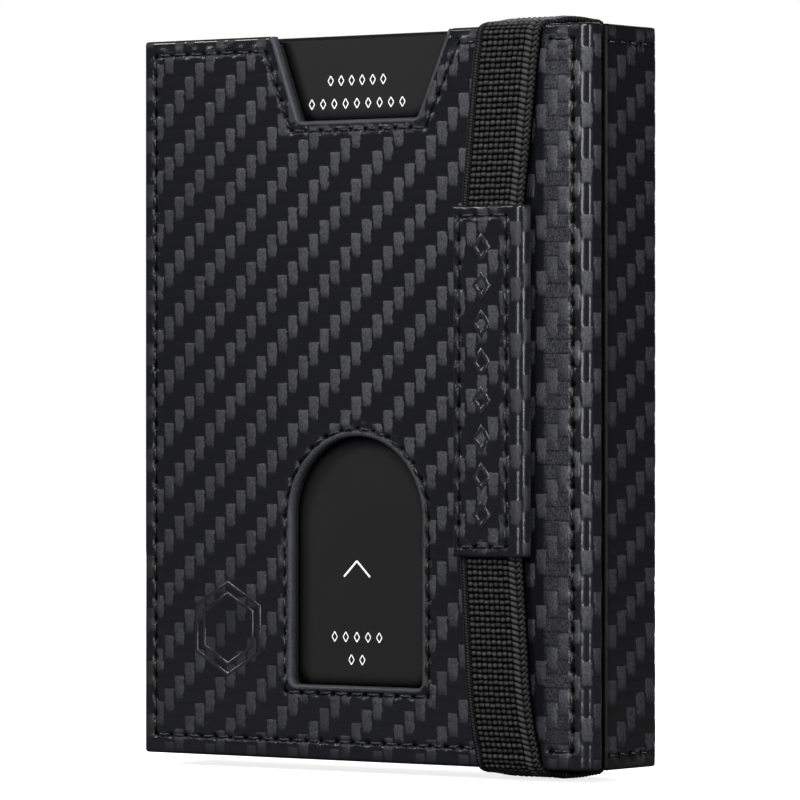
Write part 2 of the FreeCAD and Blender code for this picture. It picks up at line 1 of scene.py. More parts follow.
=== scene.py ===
"""Looks of the minimalist wallet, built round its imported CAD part.

Lengths are millimetres on a bench frame: x from the spine edge, y is 0 at the back face and negative
towards the front, z up from the bottom edge. piece() turns them into metres in the CAD part's frame.
"""
import math
import bmesh
import bpy
import numpy as np
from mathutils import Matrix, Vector


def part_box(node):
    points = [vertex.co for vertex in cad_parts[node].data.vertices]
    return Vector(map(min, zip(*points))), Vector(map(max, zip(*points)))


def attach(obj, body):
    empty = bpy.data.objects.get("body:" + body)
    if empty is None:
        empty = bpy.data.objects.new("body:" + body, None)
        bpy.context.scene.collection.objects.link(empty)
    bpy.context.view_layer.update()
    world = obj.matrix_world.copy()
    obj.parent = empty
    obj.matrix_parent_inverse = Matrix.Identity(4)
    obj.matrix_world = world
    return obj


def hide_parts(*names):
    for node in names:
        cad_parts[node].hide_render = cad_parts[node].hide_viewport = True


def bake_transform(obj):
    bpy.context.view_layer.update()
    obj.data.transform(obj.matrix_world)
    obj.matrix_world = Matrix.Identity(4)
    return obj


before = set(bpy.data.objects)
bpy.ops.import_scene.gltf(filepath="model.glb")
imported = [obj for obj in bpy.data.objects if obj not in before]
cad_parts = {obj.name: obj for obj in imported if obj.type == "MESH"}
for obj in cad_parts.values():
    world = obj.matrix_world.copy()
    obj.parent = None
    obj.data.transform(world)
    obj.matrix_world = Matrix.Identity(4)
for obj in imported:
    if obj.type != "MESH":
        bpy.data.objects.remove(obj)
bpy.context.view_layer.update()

MM = 0.001
random = np.random.default_rng(7)

# ---- places taken from the frame ----
SPINE_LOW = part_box("spine_leather")[0]
ORIGIN = np.array([SPINE_LOW.x, 0.0, SPINE_LOW.z]) / MM


def span(node):
    low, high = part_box(node)
    return np.array(low) / MM - ORIGIN, np.array(high) / MM - ORIGIN


COVER_LOW, COVER_HIGH = span("front_leather")
FLAP_LOW, FLAP_HIGH = span("coin_flap_leather")
TAB_LOW, TAB_HIGH = span("pull_tab")
CARD_LOW, CARD_HIGH = span("insert_card")
WIDTH, HEIGHT = COVER_HIGH[0], COVER_HIGH[2]
FRONT, COVER_INSIDE, TRAY_FRONT = COVER_LOW[1], COVER_HIGH[1], span("back_cover")[0][1]
LEATHER = span("spine_leather")[1][0]
FACING_FRONT, FACING_BACK, FACING_RIGHT = (0, -1, 0), (0, 1, 0), (1, 0, 0)
COVER_SEAMS = ("front_perimeter_stitching", "edge_stitching", "notch_stitching", "arch_stitching")

# ---- leather ----
FOLD_RADIUS = 0.45
EDGE_RADIUS = 1.7
TURN_IN = 6.0
BACK_EDGE_RADIUS = 0.6
LEATHER_EDGE = 0.42          # rounding of a cut leather edge
SHINE = 0.55                 # specular level
DARK_LEATHER = (0.0102, 0.0105, 0.0126)
# the pale colour of the upright floats is painted sheen, for the light that their upright grain catches
PAINTED_FLOAT_SHEEN = (0.085, 0.0855, 0.094)
DEEP_BLACK = (0.0012, 0.0012, 0.0012)

# ---- embossed twill: each upright float is two rows high and each level float two columns wide ----
WEAVE_COLUMN, WEAVE_ROW = 1.75, 1.79
WEAVE_PHASE, SIDE_PHASE, TAB_PHASE = (-0.065, 1.72), (-0.2, 1.0), (0.4, 0.9)
SIDE_COLUMN = 2.15
WEAVE_HEIGHT = 0.085
THIN_WEAVE_HEIGHT = 0.06     # on the tab and the coin flap
LEVEL_SHARE, SIDE_LEVEL_SHARE = 0.2, 0.45    # height of a level float as a share of an upright one
FLOAT_LINES = (0, 0.13, 0.38, 0.62, 0.87)    # grid lines across one column or row
CLOSEST_LINES = 0.09
UV_SCALE = 100.0             # millimetres to one unit of the texture map

# ---- what a stitch does to the leather ----
STITCH_REACH = 3.2           # nothing changes further away
HOLE_RADIUS, HOLE_DEPTH, HOLE_OUTSIDE = 0.34, 0.42, 0.22
CHANNEL_RADIUS, CHANNEL_DEPTH = 0.4, 0.12
PUCKER_AT, PUCKER_WIDTH, PUCKER_HEIGHT = 0.62, 0.28, 0.1
CRUMPLED_RADIUS = 0.7
THREAD_RINGS, THREAD_SIDES = 9, 8

# ---- windows in the front cover ----
NOTCH = ((21.9, 96.0), (26.1, 84.5), (45.7, 84.5), (50.8, 96.0))
NOTCH_ROUNDING = 0.6
ARCH_CENTRE, ARCH_RADIUS, ARCH_BOTTOM, ARCH_TOP, ARCH_CORNER = 35.7, 10.8, 9.85, 42.9, 0.8
ARCH_SPRING = ARCH_TOP - ARCH_RADIUS
LIP = 0.5                    # width of the turned edge round each window
ORNAMENT = (14.3, 17.0)
ORNAMENT_RADIUS = 6.4
ORNAMENT_RINGS = (6.15, 4.7)
COS_30 = math.cos(math.pi / 6)

# ---- elastic ----
BAND = 1.25
BAND_ROOM = 0.1
BAND_LEFT, BAND_RIGHT = 55.95, 65.95
BAND_WIDTH = BAND_RIGHT - BAND_LEFT
BEAD_PITCH = 0.745
BEAD_COLUMNS = 8
BEAD_DEPTH = 0.32
BEAD_LINES = (0, 0.17, 0.33, 0.5, 0.67, 0.83)
KNIT_EDGE, BRAID_EDGE = 1.2, 2.1
# height, bow towards the front, shift to the right, narrowing
BAND_STATIONS = ((0, 0, 0, 0), (9, 0.65, -0.7, 0.2), (24, 0.97, -1.2, 0.3), (27.1, 1, -1.42, 0.4),
                 (73, 1, -1.2, 0.4), (76, 0.95, -0.85, 0.3), (84, 0.6, -0.5, 0.1), (96, 0, 0, 0))
BAND_BOW = 1.85
BACK_BEND, FRONT_BEND = 0.8, 1.5
BAND_CROWN = 0.15            # how far the band arches over the top and bottom edges
SHOULDER_DROP = 0.6          # how much lower it runs just behind the front face
BAND_TAIL = 9.3

# ---- card ----
CARD_CORNER, CARD_BEVEL = 3.18, 0.12
PRINT_CENTRE = ARCH_CENTRE - 1.1
PRINT_RISE = 0.015
# height, number of lozenges and half width of each printed row
PRINT_ROWS = ((16.3, 5, 4.6), (13.3, 2, 1.8), (89.85, 6, 5.2), (86.8, 9, 8.4))


# ==== small helpers ====
def smooth(low, high, value):
    t = np.clip((value - low) / (high - low), 0, 1)
    return t * t * (3 - 2 * t)


def unit(way):
    return way / np.linalg.norm(way)


def to_end(z):
    """Distance to the nearer of the wallet's two ends."""
    return np.minimum(z, HEIGHT - z)


def grid_faces(rows, columns, closed=False):
    """Quads over a grid of points stored row by row; closed joins the last column to the first."""
    wide = columns if closed else columns - 1
    i, j = np.meshgrid(np.arange(rows - 1), np.arange(wide), indexing="ij")
    a, b = i * columns + j, i * columns + (j + 1) % columns
    return np.stack([a, b, b + columns, a + columns], -1).reshape(-1, 4)


def tube_faces(rows, columns, ring=False):
    """Faces over rows of points that each go round; a ring joins its ends and other tubes are capped."""
    last = (rows - 1) * columns
    ends = [list(range(columns))[::-1], [last + k for k in range(columns)]]
    if ring:
        ends = [[last + k, last + (k + 1) % columns, (k + 1) % columns, k] for k in range(columns)]
    return grid_faces(rows, columns, closed=True).tolist() + ends


def join(parts):
    """One mesh out of several, each given as (points, faces)."""
    points, faces = [], []
    for some_points, some_faces in parts:
        faces += [[k + len(points) for k in face] for face in some_faces]
        points += list(some_points)
    return np.array(points, float), faces


def in_scene(name, data):
    made = bpy.data.objects.new(name, data)
    bpy.context.scene.collection.objects.link(made)
    return made


def piece(name, points, faces, body, material, slot, stands_for=(), uv=None, **fields):
    """Mesh object made of points in bench millimetres, riding on a body."""
    mesh = bpy.data.meshes.new(name)
    faces = faces.tolist() if isinstance(faces, np.ndarray) else faces
    mesh.from_pydata(((np.asarray(points) + ORIGIN) * MM).tolist(), [], faces)
    mesh.shade_smooth()
    if uv is not None:
        corner = np.zeros(len(mesh.loops), np.int32)
        mesh.loops.foreach_get("vertex_index", corner)
        layer = mesh.uv_layers.new(name="cloth")
        layer.data.foreach_set("uv", (np.asarray(uv)[corner] / UV_SCALE).astype(np.float32).ravel())
    for field, values in fields.items():
        layer = mesh.attributes.new(field, "FLOAT", "POINT")
        layer.data.foreach_set("value", np.asarray(values, np.float32).ravel())
    mesh.materials.append(material)
    made = in_scene(name, mesh)
    if body:
        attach(made, body)
    if stands_for:
        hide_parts(*stands_for)
    return made


class Path:
    """Plane curve made of straight and round stretches. Its normals point to the right of its travel."""
    SHORT = 3.0              # a stretch below this length gets extra grid lines
    SHORT_LINES = 5

    def __init__(self, start, length=0.0):
        self.start, self.end = length, length
        self.at = np.array(start, float)
        self.parts = []

    def add(self, size, part):
        """part(t) gives (points, normals) for t from 0 to 1."""
        self.parts.append((self.end, size, part))
        self.at, self.end = part(np.array([1.0]))[0][0], self.end + size
        return self

    def line(self, *point):
        a, b = self.at, np.array(point, float)
        size = np.linalg.norm(b - a)
        way = (b - a) / size
        normal = np.array([way[1], -way[0]])
        return self.add(size, lambda t: (a + np.outer(t * size, way), np.tile(normal, (len(t), 1))))

    def arc(self, centre, radius, start, stop):
        """Angles in degrees; the curve turns left when stop is above start."""
        side = 1 if stop > start else -1

        def part(t):
            angle = np.radians(start + (stop - start) * t)
            ray = np.stack([np.cos(angle), np.sin(angle)], -1)
            return np.array(centre, float) + radius * ray, side * ray

        return self.add(radius * math.radians(abs(stop - start)), part)

    def joints(self):
        """Lengths where stretches meet, and points along the short ones."""
        marks = [self.end]
        for begin, size, _ in self.parts:
            count = self.SHORT_LINES if size < self.SHORT else 1
            marks.extend(begin + size * k / self.SHORT_LINES for k in range(count))
        return marks

    def at_lengths(self, s):
        points, normals = np.zeros((len(s), 2)), np.zeros((len(s), 2))
        for begin, size, part in self.parts:
            inside = (s >= begin - 1e-9) & (s <= begin + size + 1e-9)
            points[inside], normals[inside] = part((s[inside] - begin) / size)
        return points, normals

    def sample(self, step):
        """Points and normals about one step apart."""
        return self.at_lengths(np.linspace(self.start, self.end, int((self.end - self.start) / step) + 2))


def spaced_lines(low, high, phase, pitch, extra=(), parts=FLOAT_LINES):
    """Grid lines that follow the weave, so that every float edge falls on one."""
    first, last = math.floor((low - phase) / pitch) - 1, math.ceil((high - phase) / pitch) + 1
    lines = [phase + (k + part) * pitch for k in range(first, last) for part in parts]
    kept = [low]
    for line in sorted(x for x in lines + list(extra) if low < x < high):
        if line - kept[-1] > CLOSEST_LINES:
            kept.append(line)
    if high - kept[-1] < CLOSEST_LINES:
        kept.pop()
    return np.array(kept + [high])


# ==== embossed leather ====
def twill(s, z, phase=WEAVE_PHASE, column=WEAVE_COLUMN, level_share=LEVEL_SHARE):
    """Height of the embossed weave, from 0 between the floats to 1 on their crowns."""
    u, v = (s - phase[0]) / column, (z - phase[1]) / WEAVE_ROW
    i, j = np.floor(u + 1e-6), np.floor(v + 1e-6)
    step = (j - i) % 4
    across, up = u - i, v - j
    along = (step + up) / 2
    narrow = 1 - 0.2 * np.clip(1 - along, 0, 1) ** 3
    upright = (1 - np.clip(np.abs(2 * across - 1) / narrow, 0, 1) ** 4) * (1 - np.abs(2 * along - 1) ** 8)
    level = (1 - np.abs(2 * up - 1) ** 10) * (1 - np.abs((3 - step) + across - 1) ** 12)
    return np.where(step < 1.5, upright, level_share * level)


def press(s, z, runs):
    """How stitches work the leather: (depth, shade, worn) round runs given as ((s, z), (s, z)).

    Each stitch ends in a hole darkened by painted shade, the leather puckers up beside it, and worn says how
    crumpled it is.
    """
    depth, shade, worn = np.zeros_like(s), np.ones_like(s), np.zeros_like(s)
    for a, b in runs:
        a, b = np.array(a), np.array(b)
        near = np.nonzero(np.hypot(s - (a + b)[0] / 2, z - (a + b)[1] / 2) < STITCH_REACH)
        p = np.stack([s[near], z[near]], -1)
        way = b - a
        t = np.clip((p - a) @ way / (way @ way), 0, 1)
        gap = np.linalg.norm(p - a - t[:, None] * way, axis=1)
        outside = HOLE_OUTSIDE * unit(way)
        holes = [np.linalg.norm(p - hole, axis=1) for hole in (a - outside, b + outside)]
        hole = np.clip(sum(np.exp(-(far / HOLE_RADIUS) ** 2) for far in holes), 0, 1.1)
        pucker = PUCKER_HEIGHT * np.sin(math.pi * t) * np.exp(-((gap - PUCKER_AT) / PUCKER_WIDTH) ** 2)
        sunk = CHANNEL_DEPTH * np.exp(-(gap / CHANNEL_RADIUS) ** 2) + HOLE_DEPTH * hole - pucker
        depth[near] = np.where(np.abs(sunk) > np.abs(depth[near]), sunk, depth[near])
        shade[near] = np.minimum(shade[near], 1 - 0.98 * np.clip(1.7 * hole, 0, 1))
        worn[near] = np.maximum(worn[near], np.exp(-(gap / CRUMPLED_RADIUS) ** 2))
    return depth, shade, worn


def sheet_rows(low, high, phase, thickness, extra_z):
    """Heights of a sheet's rows and how far each lies behind its face, with both ends rounded over."""
    z = spaced_lines(low + LEATHER_EDGE, high - LEATHER_EDGE, phase, WEAVE_ROW, extra_z)
    turns = np.radians([30, 60, 90])
    out = np.append(LEATHER_EDGE * (1 - np.sin(turns)), 0)
    depth = np.append(LEATHER_EDGE * (1 - np.cos(turns)), thickness)
    return np.concatenate([(low + out)[::-1], z, high - out]), np.concatenate([depth[::-1], 0 * z, depth])


def snap(s, z, on_face, hole):
    """Move the grid points beside a window onto its edge."""
    step, reach = 0.02, 0.24
    gap = hole(s, z)
    slope_s, slope_z = (hole(s + step, z) - gap) / step, (hole(s, z + step) - gap) / step
    near = np.abs(gap) < reach
    return s - np.where(near, gap * slope_s, 0), z - np.where(near & on_face, gap * slope_z, 0)


def back_faces(rows, columns):
    """Faces that close the back and the two ends of a sheet."""
    top = (rows - 1) * columns
    faces = [[k + 1, k, top + k, top + k + 1] for k in range(columns - 1)]
    first, last = ([row * columns + end for row in range(rows)] for end in (0, columns - 1))
    return faces + [first[::-1], last]


def skin(name, stands_for, path, height, thickness, body, material, lows=(0, HEIGHT), phase=WEAVE_PHASE,
         column=WEAVE_COLUMN, hole=None, extra_s=(), extra_z=()):
    """Leather sheet in a node's place, along a plan path between two heights, with real relief.

    height(s, z) gives (height, shade, strength of the weave's colour, how crumpled the leather is).
    hole(s, z) is a distance that is negative inside a window; only a sheet without one gets a back.
    """
    low, high = lows
    s = spaced_lines(path.start, path.end, phase[0], column, path.joints() + list(extra_s))
    z_rows, depth_rows = sheet_rows(low, high, phase[1], thickness, extra_z)
    s_grid, z_grid = np.meshgrid(s, z_rows)
    depth = np.repeat(depth_rows[:, None], len(s), 1)
    if hole is not None:
        s_grid, z_grid = snap(s_grid, z_grid, depth == 0, hole)
    raised, shade, weave, worn = height(s_grid, z_grid)
    raised = np.where(depth > 0, 0, raised)
    flat, normals = path.at_lengths(np.clip(s_grid.ravel(), path.start, path.end))
    plan = flat + normals * (raised - depth).ravel()[:, None]
    turned = np.where(z_grid > (low + high) / 2, depth, -depth)
    uv = np.column_stack([s_grid.ravel(), (z_grid + turned).ravel()])
    faces = grid_faces(len(z_rows), len(s))
    if hole is None:
        faces = faces.tolist() + back_faces(len(z_rows), len(s))
    else:
        middle_s, middle_z = (grid.ravel()[faces].mean(1) for grid in (s_grid, z_grid))
        faces = faces[hole(middle_s, middle_z) > 0]
    drop_loose(piece(name, np.column_stack([plan, z_grid.ravel()]), faces, body, material, "carbon_leather",
                     (stands_for,), uv, shade=shade, weave=weave, worn=worn))


def drop_loose(made):
    """Remove the points that no face uses."""
    mesh = bmesh.new()
    mesh.from_mesh(made.data)
    bmesh.ops.delete(mesh, geom=[v for v in mesh.verts if not v.link_faces], context="VERTS")
    mesh.to_mesh(made.data)
    mesh.free()


# ==== stitches ====
def islands(mesh, points):
    """Point numbers of each separate solid in a mesh, with points at the same place taken as one."""
    _, merged = np.unique(np.round(points, 3), axis=0, return_inverse=True)
    merged = merged.ravel()
    parent = list(range(merged.max() + 1))

    def root(k):
        while parent[k] != k:
            parent[k] = parent[parent[k]]
            k = parent[k]
        return k

    for polygon in mesh.polygons:
        first, *others = [root(merged[v]) for v in polygon.vertices]
        for k in others:
            parent[root(k)] = root(first)
    groups = {}
    for k, m in enumerate(merged):
        groups.setdefault(root(m), []).append(k)
    return groups.values()


def stitch_runs(node, up):
    """Start and end of every stitch of a CAD seam, on the surface that it lies on."""
    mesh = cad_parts[node].data
    points = np.array([v.co for v in mesh.vertices]) / MM - ORIGIN
    up = np.array(up, float)
    runs = []
    for ids in islands(mesh, points):
        p = points[ids]
        centre = (p.max(0) + p.min(0)) / 2
        level = p - centre - np.outer((p - centre) @ up, up)
        way = np.linalg.svd(level - level.mean(0))[2][0]
        reach = level @ way
        base = centre + up * ((p - centre) @ up).min()
        runs.append((base + way * reach.min(), base + way * reach.max()))
    return sorted(runs, key=lambda run: tuple(np.round(run[0] + run[1], 2)))


def flat_runs(node):
    """Runs of a seam on an upright face, as ((x, z), (x, z))."""
    return [(a[[0, 2]], b[[0, 2]]) for a, b in stitch_runs(node, FACING_FRONT)]


def twisted_thread(a, b, up, lift, thick):
    """Thread from a to b that dives into the leather at both ends, as (points, shade)."""
    t = np.linspace(0, 1, THREAD_RINGS)
    turn = np.arange(THREAD_SIDES) / THREAD_SIDES * 2 * math.pi
    taper = np.abs(2 * t - 1) ** 3
    size = np.linalg.norm(b - a)
    side = np.cross(up, (b - a) / size)
    lean = random.uniform(-0.09, 0.09)
    middle = a + np.outer(-0.04 + 1.08 * t, b - a) + np.outer((t - 0.5) * lean * size, side)
    middle = middle + np.outer(lift + 0.06 - 0.62 * taper, up)
    twist, ply = 7.5, 0.16
    swell = np.cos(2 * (turn[None, :] - twist * t[:, None]))
    reach = thick * (1 - 0.35 * taper)[:, None] * (1 + ply * swell)
    over_side, over_up = ((reach * part)[..., None] for part in (np.cos(turn), np.sin(turn)))
    ring = middle[:, None, :] + over_side * side + over_up * up
    return ring.reshape(-1, 3), 0.5 + 0.5 * swell


def seam(name, node, body, up, lift=0.0, thick=0.21):
    """A thread in every stitch of a seam."""
    threads = [twisted_thread(a, b, np.array(up, float), lift, thick) for a, b in stitch_runs(node, up)]
    tube = tube_faces(THREAD_RINGS, THREAD_SIDES)
    points, faces = join([(points, tube) for points, _ in threads])
    piece(name, points, faces, body, THREAD, "thread", (node,), shade=[shade for _, shade in threads])


# ==== node materials ====
MIX_A, MIX_B, MIX_RESULT = 6, 7, 2    # numbers of a Mix node's colour sockets


def feed(tree, socket, value):
    """Link a field or a node's output to an input, or set the input to a plain value."""
    if isinstance(value, Field):
        value = value.socket
    if hasattr(value, "is_output"):
        tree.links.new(value, socket)
    else:
        socket.default_value = value


def add_node(tree, kind, **inputs):
    """New shader node with its named inputs fed; _ stands for a space in a name."""
    node = tree.nodes.new("ShaderNode" + kind)
    for name, value in inputs.items():
        feed(tree, node.inputs[name.replace("_", " ")], value)
    return node


def operator(kind):
    return lambda self, other: self.op(kind, other)


class Field:
    """A number field of a node tree, so that shader arithmetic reads as arithmetic."""

    def __init__(self, tree, socket):
        self.tree, self.socket = tree, socket

    def op(self, kind, *others):
        node = add_node(self.tree, "Math")
        node.operation = kind
        for socket, value in zip(node.inputs, (self,) + others):
            feed(self.tree, socket, value)
        return Field(self.tree, node.outputs[0])

    __add__ = __radd__ = operator("ADD")
    __mul__ = __rmul__ = operator("MULTIPLY")
    __sub__ = operator("SUBTRACT")
    __truediv__ = operator("DIVIDE")

    def __rsub__(self, other):
        return self * -1 + other

    def ramp(self, low, high, to_low=0.0, to_high=1.0):
        ends = {"From_Min": low, "From_Max": high, "To_Min": to_low, "To_Max": to_high}
        node = add_node(self.tree, "MapRange", Value=self, **ends)
        node.interpolation_type = "SMOOTHSTEP"
        return Field(self.tree, node.outputs["Result"])

    def colours(self, dark, light):
        """Colour between two others, which may be plain or come from a node."""
        node = add_node(self.tree, "Mix")
        node.data_type = "RGBA"
        feed(self.tree, node.inputs[0], self)
        for number, value in ((MIX_A, dark), (MIX_B, light)):
            feed(self.tree, node.inputs[number], value if hasattr(value, "is_output") else (*value, 1))
        return node.outputs[MIX_RESULT]


class Finish:
    """A principled material under construction."""

    def __init__(self, name, rough, specular=0.5, metallic=0.0):
        self.material = bpy.data.materials.new(name)
        self.material.use_nodes = True
        self.tree = self.material.node_tree
        self.shader = self.tree.nodes["Principled BSDF"]
        self.set("Roughness", rough)
        self.set("Specular IOR Level", specular)
        self.set("Metallic", metallic)

    def set(self, key, value):
        feed(self.tree, self.shader.inputs[key], value)

    def field(self, node, output):
        return Field(self.tree, node.outputs[output])

    def split(self, vector, scale, count):
        """The first few parts of a vector as fields, scaled."""
        node = add_node(self.tree, "SeparateXYZ", Vector=vector)
        return [self.field(node, k) * scale for k in range(count)]

    def cloth(self):
        """Place along and up a leather sheet, in millimetres."""
        node = add_node(self.tree, "UVMap")
        node.uv_map = "cloth"
        return self.split(node.outputs[0], UV_SCALE, 2)

    def place(self):
        """Place in the CAD part's frame, in millimetres."""
        return self.split(add_node(self.tree, "TexCoord").outputs["Object"], 1 / MM, 3)

    def attribute(self, name):
        node = add_node(self.tree, "Attribute")
        node.attribute_name = name
        return self.field(node, "Fac")

    def camera_ray(self):
        """1 where the camera sees the surface directly and 0 in its reflections and light."""
        return self.field(add_node(self.tree, "LightPath"), "Is Camera Ray")

    def pack(self, place):
        """One vector out of two or three fields or numbers."""
        return add_node(self.tree, "CombineXYZ", **dict(zip("XYZ", place))).outputs[0]

    def noise(self, place, detail=2.0, rough=0.5, scale=1.0):
        place = self.pack(place)
        node = add_node(self.tree, "TexNoise", Vector=place, Scale=scale, Detail=detail, Roughness=rough)
        return self.field(node, "Fac")

    def chance(self, place):
        return self.field(add_node(self.tree, "TexWhiteNoise", Vector=self.pack(place)), "Value")

    def ambient_occlusion(self, reach):
        """Painted shade: 1 in the open and less in corners, judged within reach millimetres."""
        return self.field(add_node(self.tree, "AmbientOcclusion", Distance=reach * MM), "AO")

    def bump(self, height, depth):
        node = add_node(self.tree, "Bump", Distance=depth * MM, Height=height)
        self.set("Normal", node.outputs["Normal"])


def float_outline(look, s, z, step, across, along):
    """Ragged outline of the upright floats: (1 inside them, half their width)."""
    wobble = look.noise((s * 1.1, z * 1.1), 2.0, 0.6) * 0.4 - 0.2
    half = (1 - along).op("POWER", 2.0) * -0.14 + 0.465
    off = (across - 0.5 + (along - 0.5) * 0.06).op("ABSOLUTE")
    flank = (half + wobble - off).ramp(-0.05, 0.09)
    ends = (along - 0.02 + wobble * 0.5).ramp(0.0, 0.16) * (0.955 - along + wobble * 0.15).ramp(0.0, 0.03)
    upright = step.ramp(1.999, 2.001, 1.0, 0.0)
    return upright * flank * ends, half


def carbon_leather(name, phase=WEAVE_PHASE, column=WEAVE_COLUMN, pale=PAINTED_FLOAT_SHEEN, dark=DARK_LEATHER,
                   level_light=0.03, gloss=0.19, rim_light=0.6, painted_sheen_strip=None):
    """Black leather embossed as twill: grained upright floats made pale by painted sheen, on smooth dark
    level ones.

    The last argument gives the two ends of a crinkled strip whose level floats get painted sheen as well.
    """
    look = Finish(name, gloss, SHINE)
    s, z = look.cloth()
    u, v = (s - phase[0]) / column, (z - phase[1]) / WEAVE_ROW
    i, j = u.op("FLOOR"), v.op("FLOOR")
    step = (j - i + 0.5).op("FLOORED_MODULO", 4.0)
    across, up = u - i, v - j
    along = (step - 0.5 + up) * 0.5
    mask, half = float_outline(look, s, z, step, across, along)

    cell = look.chance((i, j - (step - 0.5).op("FLOOR"), 3.0))
    grain = look.noise((s * 4.5, z * 1.6), 3.0, 0.75)
    speck = look.noise((s * 4.0, z * 3.4, 4.0), 2.0, 0.85)
    patch = look.noise((s * 0.7, z * 0.5, 6.0), 2.0, 0.6)
    tone = (0.55 + cell * 0.3) * grain.ramp(0.34, 0.66, 0.25, 1.75) * speck.ramp(0.36, 0.64, 0.25, 1.9)
    tone = tone * patch.ramp(0.3, 0.7, 0.7, 1.2)
    # painted highlight along the right edge of each upright float
    rim = (across - 0.5 - half + 0.1).ramp(0.0, 0.06) * rim_light + 1
    light = mask * tone * rim * along.ramp(0.0, 0.55, 0.3, 1.0)
    level_grain = look.noise((s * 1.5, z * 9.0, 8.0), 3.0, 0.7)
    level = level_grain.ramp(0.3, 0.8) * level_light
    # painted sheen: on the strip the level floats turn pale with grain, fading towards their edges, and the
    # upright floats dim
    if painted_sheen_strip:
        low, high = painted_sheen_strip
        strip = s.ramp(low - 0.6, low + 0.3) * s.ramp(high - 0.3, high + 0.6, 1.0, 0.0)
        outline = 1 - (1 - up.ramp(0.0, 0.1) * up.ramp(0.9, 1.0, 1.0, 0.0)) * 0.8
        level = level + strip * level_grain.ramp(0.2, 0.8, 0.3, 0.55) * outline * tone
        light = light * (1 - strip * 0.3)
    light = light + (1 - mask) * level

    shade, worn = look.attribute("shade"), look.attribute("worn")
    # pale is painted sheen on the upright floats
    colour = (light * shade * look.attribute("weave")).colours(dark, pale)
    look.set("Base Color", shade.colours(DEEP_BLACK, colour))
    rough = mask.ramp(0.0, 1.0, gloss, gloss + 0.3) + speck * 0.06 + shade.ramp(0.0, 0.6, 0.4, 0.0)
    look.set("Roughness", rough)
    look.set("Specular IOR Level", shade.ramp(0.0, 0.7, 0.0, SHINE))
    crumple = look.noise((s * 1.5, z * 1.5, 11.0), 4.0, 0.7)
    look.bump(mask * grain * 0.016 + (1 - mask) * level_grain * 0.0015 + worn * crumple * 0.16, 1.0)
    return look.material


def thread():
    look = Finish("twisted_thread", 0.3, 0.6)
    x, y, z = look.place()
    fibres = look.noise((x * 6.0, y * 6.0, z * 6.0), 3.0, 0.7)
    look.set("Base Color", (look.attribute("shade") * fibres).colours(DEEP_BLACK, (0.018, 0.018, 0.019)))
    look.bump(fibres, 0.02)
    return look.material


def elastic():
    """Black ribbed elastic: painted highlight on the crown of each bead and painted shade in the gaps."""
    look = Finish("ribbed_elastic", 0.6, 0.25)
    x, y, z = look.place()
    shade = look.attribute("shade")
    fibres = look.noise((x * 12.0, y * 8.0, z * 5.0), 3.0, 0.75)
    fleck = look.noise((x * 3.0, y * 3.0, z * 3.0), 2.0, 0.6)
    # painted highlight and shade: the colour follows the height of the beads
    crown = shade.op("POWER", 1.6) * fibres.ramp(0.25, 0.8, 0.4, 1.5) * fleck.ramp(0.3, 0.7, 0.75, 1.2)
    look.set("Base Color", crown.colours((0.0008, 0.0008, 0.0009), (0.085, 0.085, 0.088)))
    look.set("Specular IOR Level", shade.ramp(0.1, 0.8, 0.0, 0.35))
    look.bump(fibres, 0.04)
    return look.material


def grained(name, dark, light, rough, fineness, depth, specular=0.4, metallic=0.0, stretch=(1, 1, 1),
            painted_corner_shade=0.0, glow=0.0):
    """Plain material with a fine grain. Corners can darken with painted shade, out to a reach given in mm,
    and glow gives it painted light of its own.
    """
    look = Finish(name, rough, specular, metallic)
    x, y, z = look.place()
    grain = look.noise((x * stretch[0], y * stretch[1], z * stretch[2]), 3.0, 0.6, fineness)
    cloud = look.noise((x, y, z), scale=0.12)
    colour = (grain * 0.7 + cloud * 0.3).ramp(0.3, 0.7).colours(dark, light)
    if painted_corner_shade:
        unshaded_share = look.ambient_occlusion(painted_corner_shade).ramp(0.5, 0.95)
        # painted shade: the colour darkens in corners
        colour = unshaded_share.colours([0.12 * c for c in dark], colour)
        look.set("Specular IOR Level", unshaded_share * specular)
    look.set("Base Color", colour)
    # glow: painted light of its own
    look.set("Emission Color", colour)
    look.set("Emission Strength", glow)
    look.set("Roughness", grain.ramp(0.3, 0.7, rough - 0.06, rough + 0.08))
    look.bump(grain, depth)
    return look.material


def woven(name, dark, light, pitch):
    """Plain-woven lining cloth, the same on a sheet that faces any way."""
    look = Finish(name, 0.8, 0.2)
    x, y, z = look.place()
    turn = 2 * math.pi / pitch
    cloth = ((x + y) * turn).op("SINE") * (z * turn).op("SINE") * 0.5 + 0.5
    fuzz = look.noise((x, y, z), 3.0, 0.7, 5.0)
    look.set("Base Color", (cloth * 0.7 + fuzz * 0.3).ramp(0.1, 0.9).colours(dark, light))
    look.set("Sheen Weight", 0.15)
    look.bump(cloth + fuzz * 0.4, 0.06)
    return look.material


THREAD = thread()
ELASTIC = elastic()
# painted sheen on the crinkled strip between the elastic and the rolled edge
FRONT_LEATHER = carbon_leather("embossed_leather_front", painted_sheen_strip=(66.2, 70.2))
# darker version of the front leather: painted shade for the side wall's dimmer light, with strong painted
# highlights on the float edges
SHADED_SIDE_LEATHER = carbon_leather("shaded_embossed_leather_tray", SIDE_PHASE, SIDE_COLUMN, (0.052, 0.052, 0.057),
                              (0.0044, 0.0045, 0.0055), level_light=0.06, gloss=0.3, rim_light=2.5)
TAB_LEATHER = carbon_leather("embossed_leather_tab", TAB_PHASE)
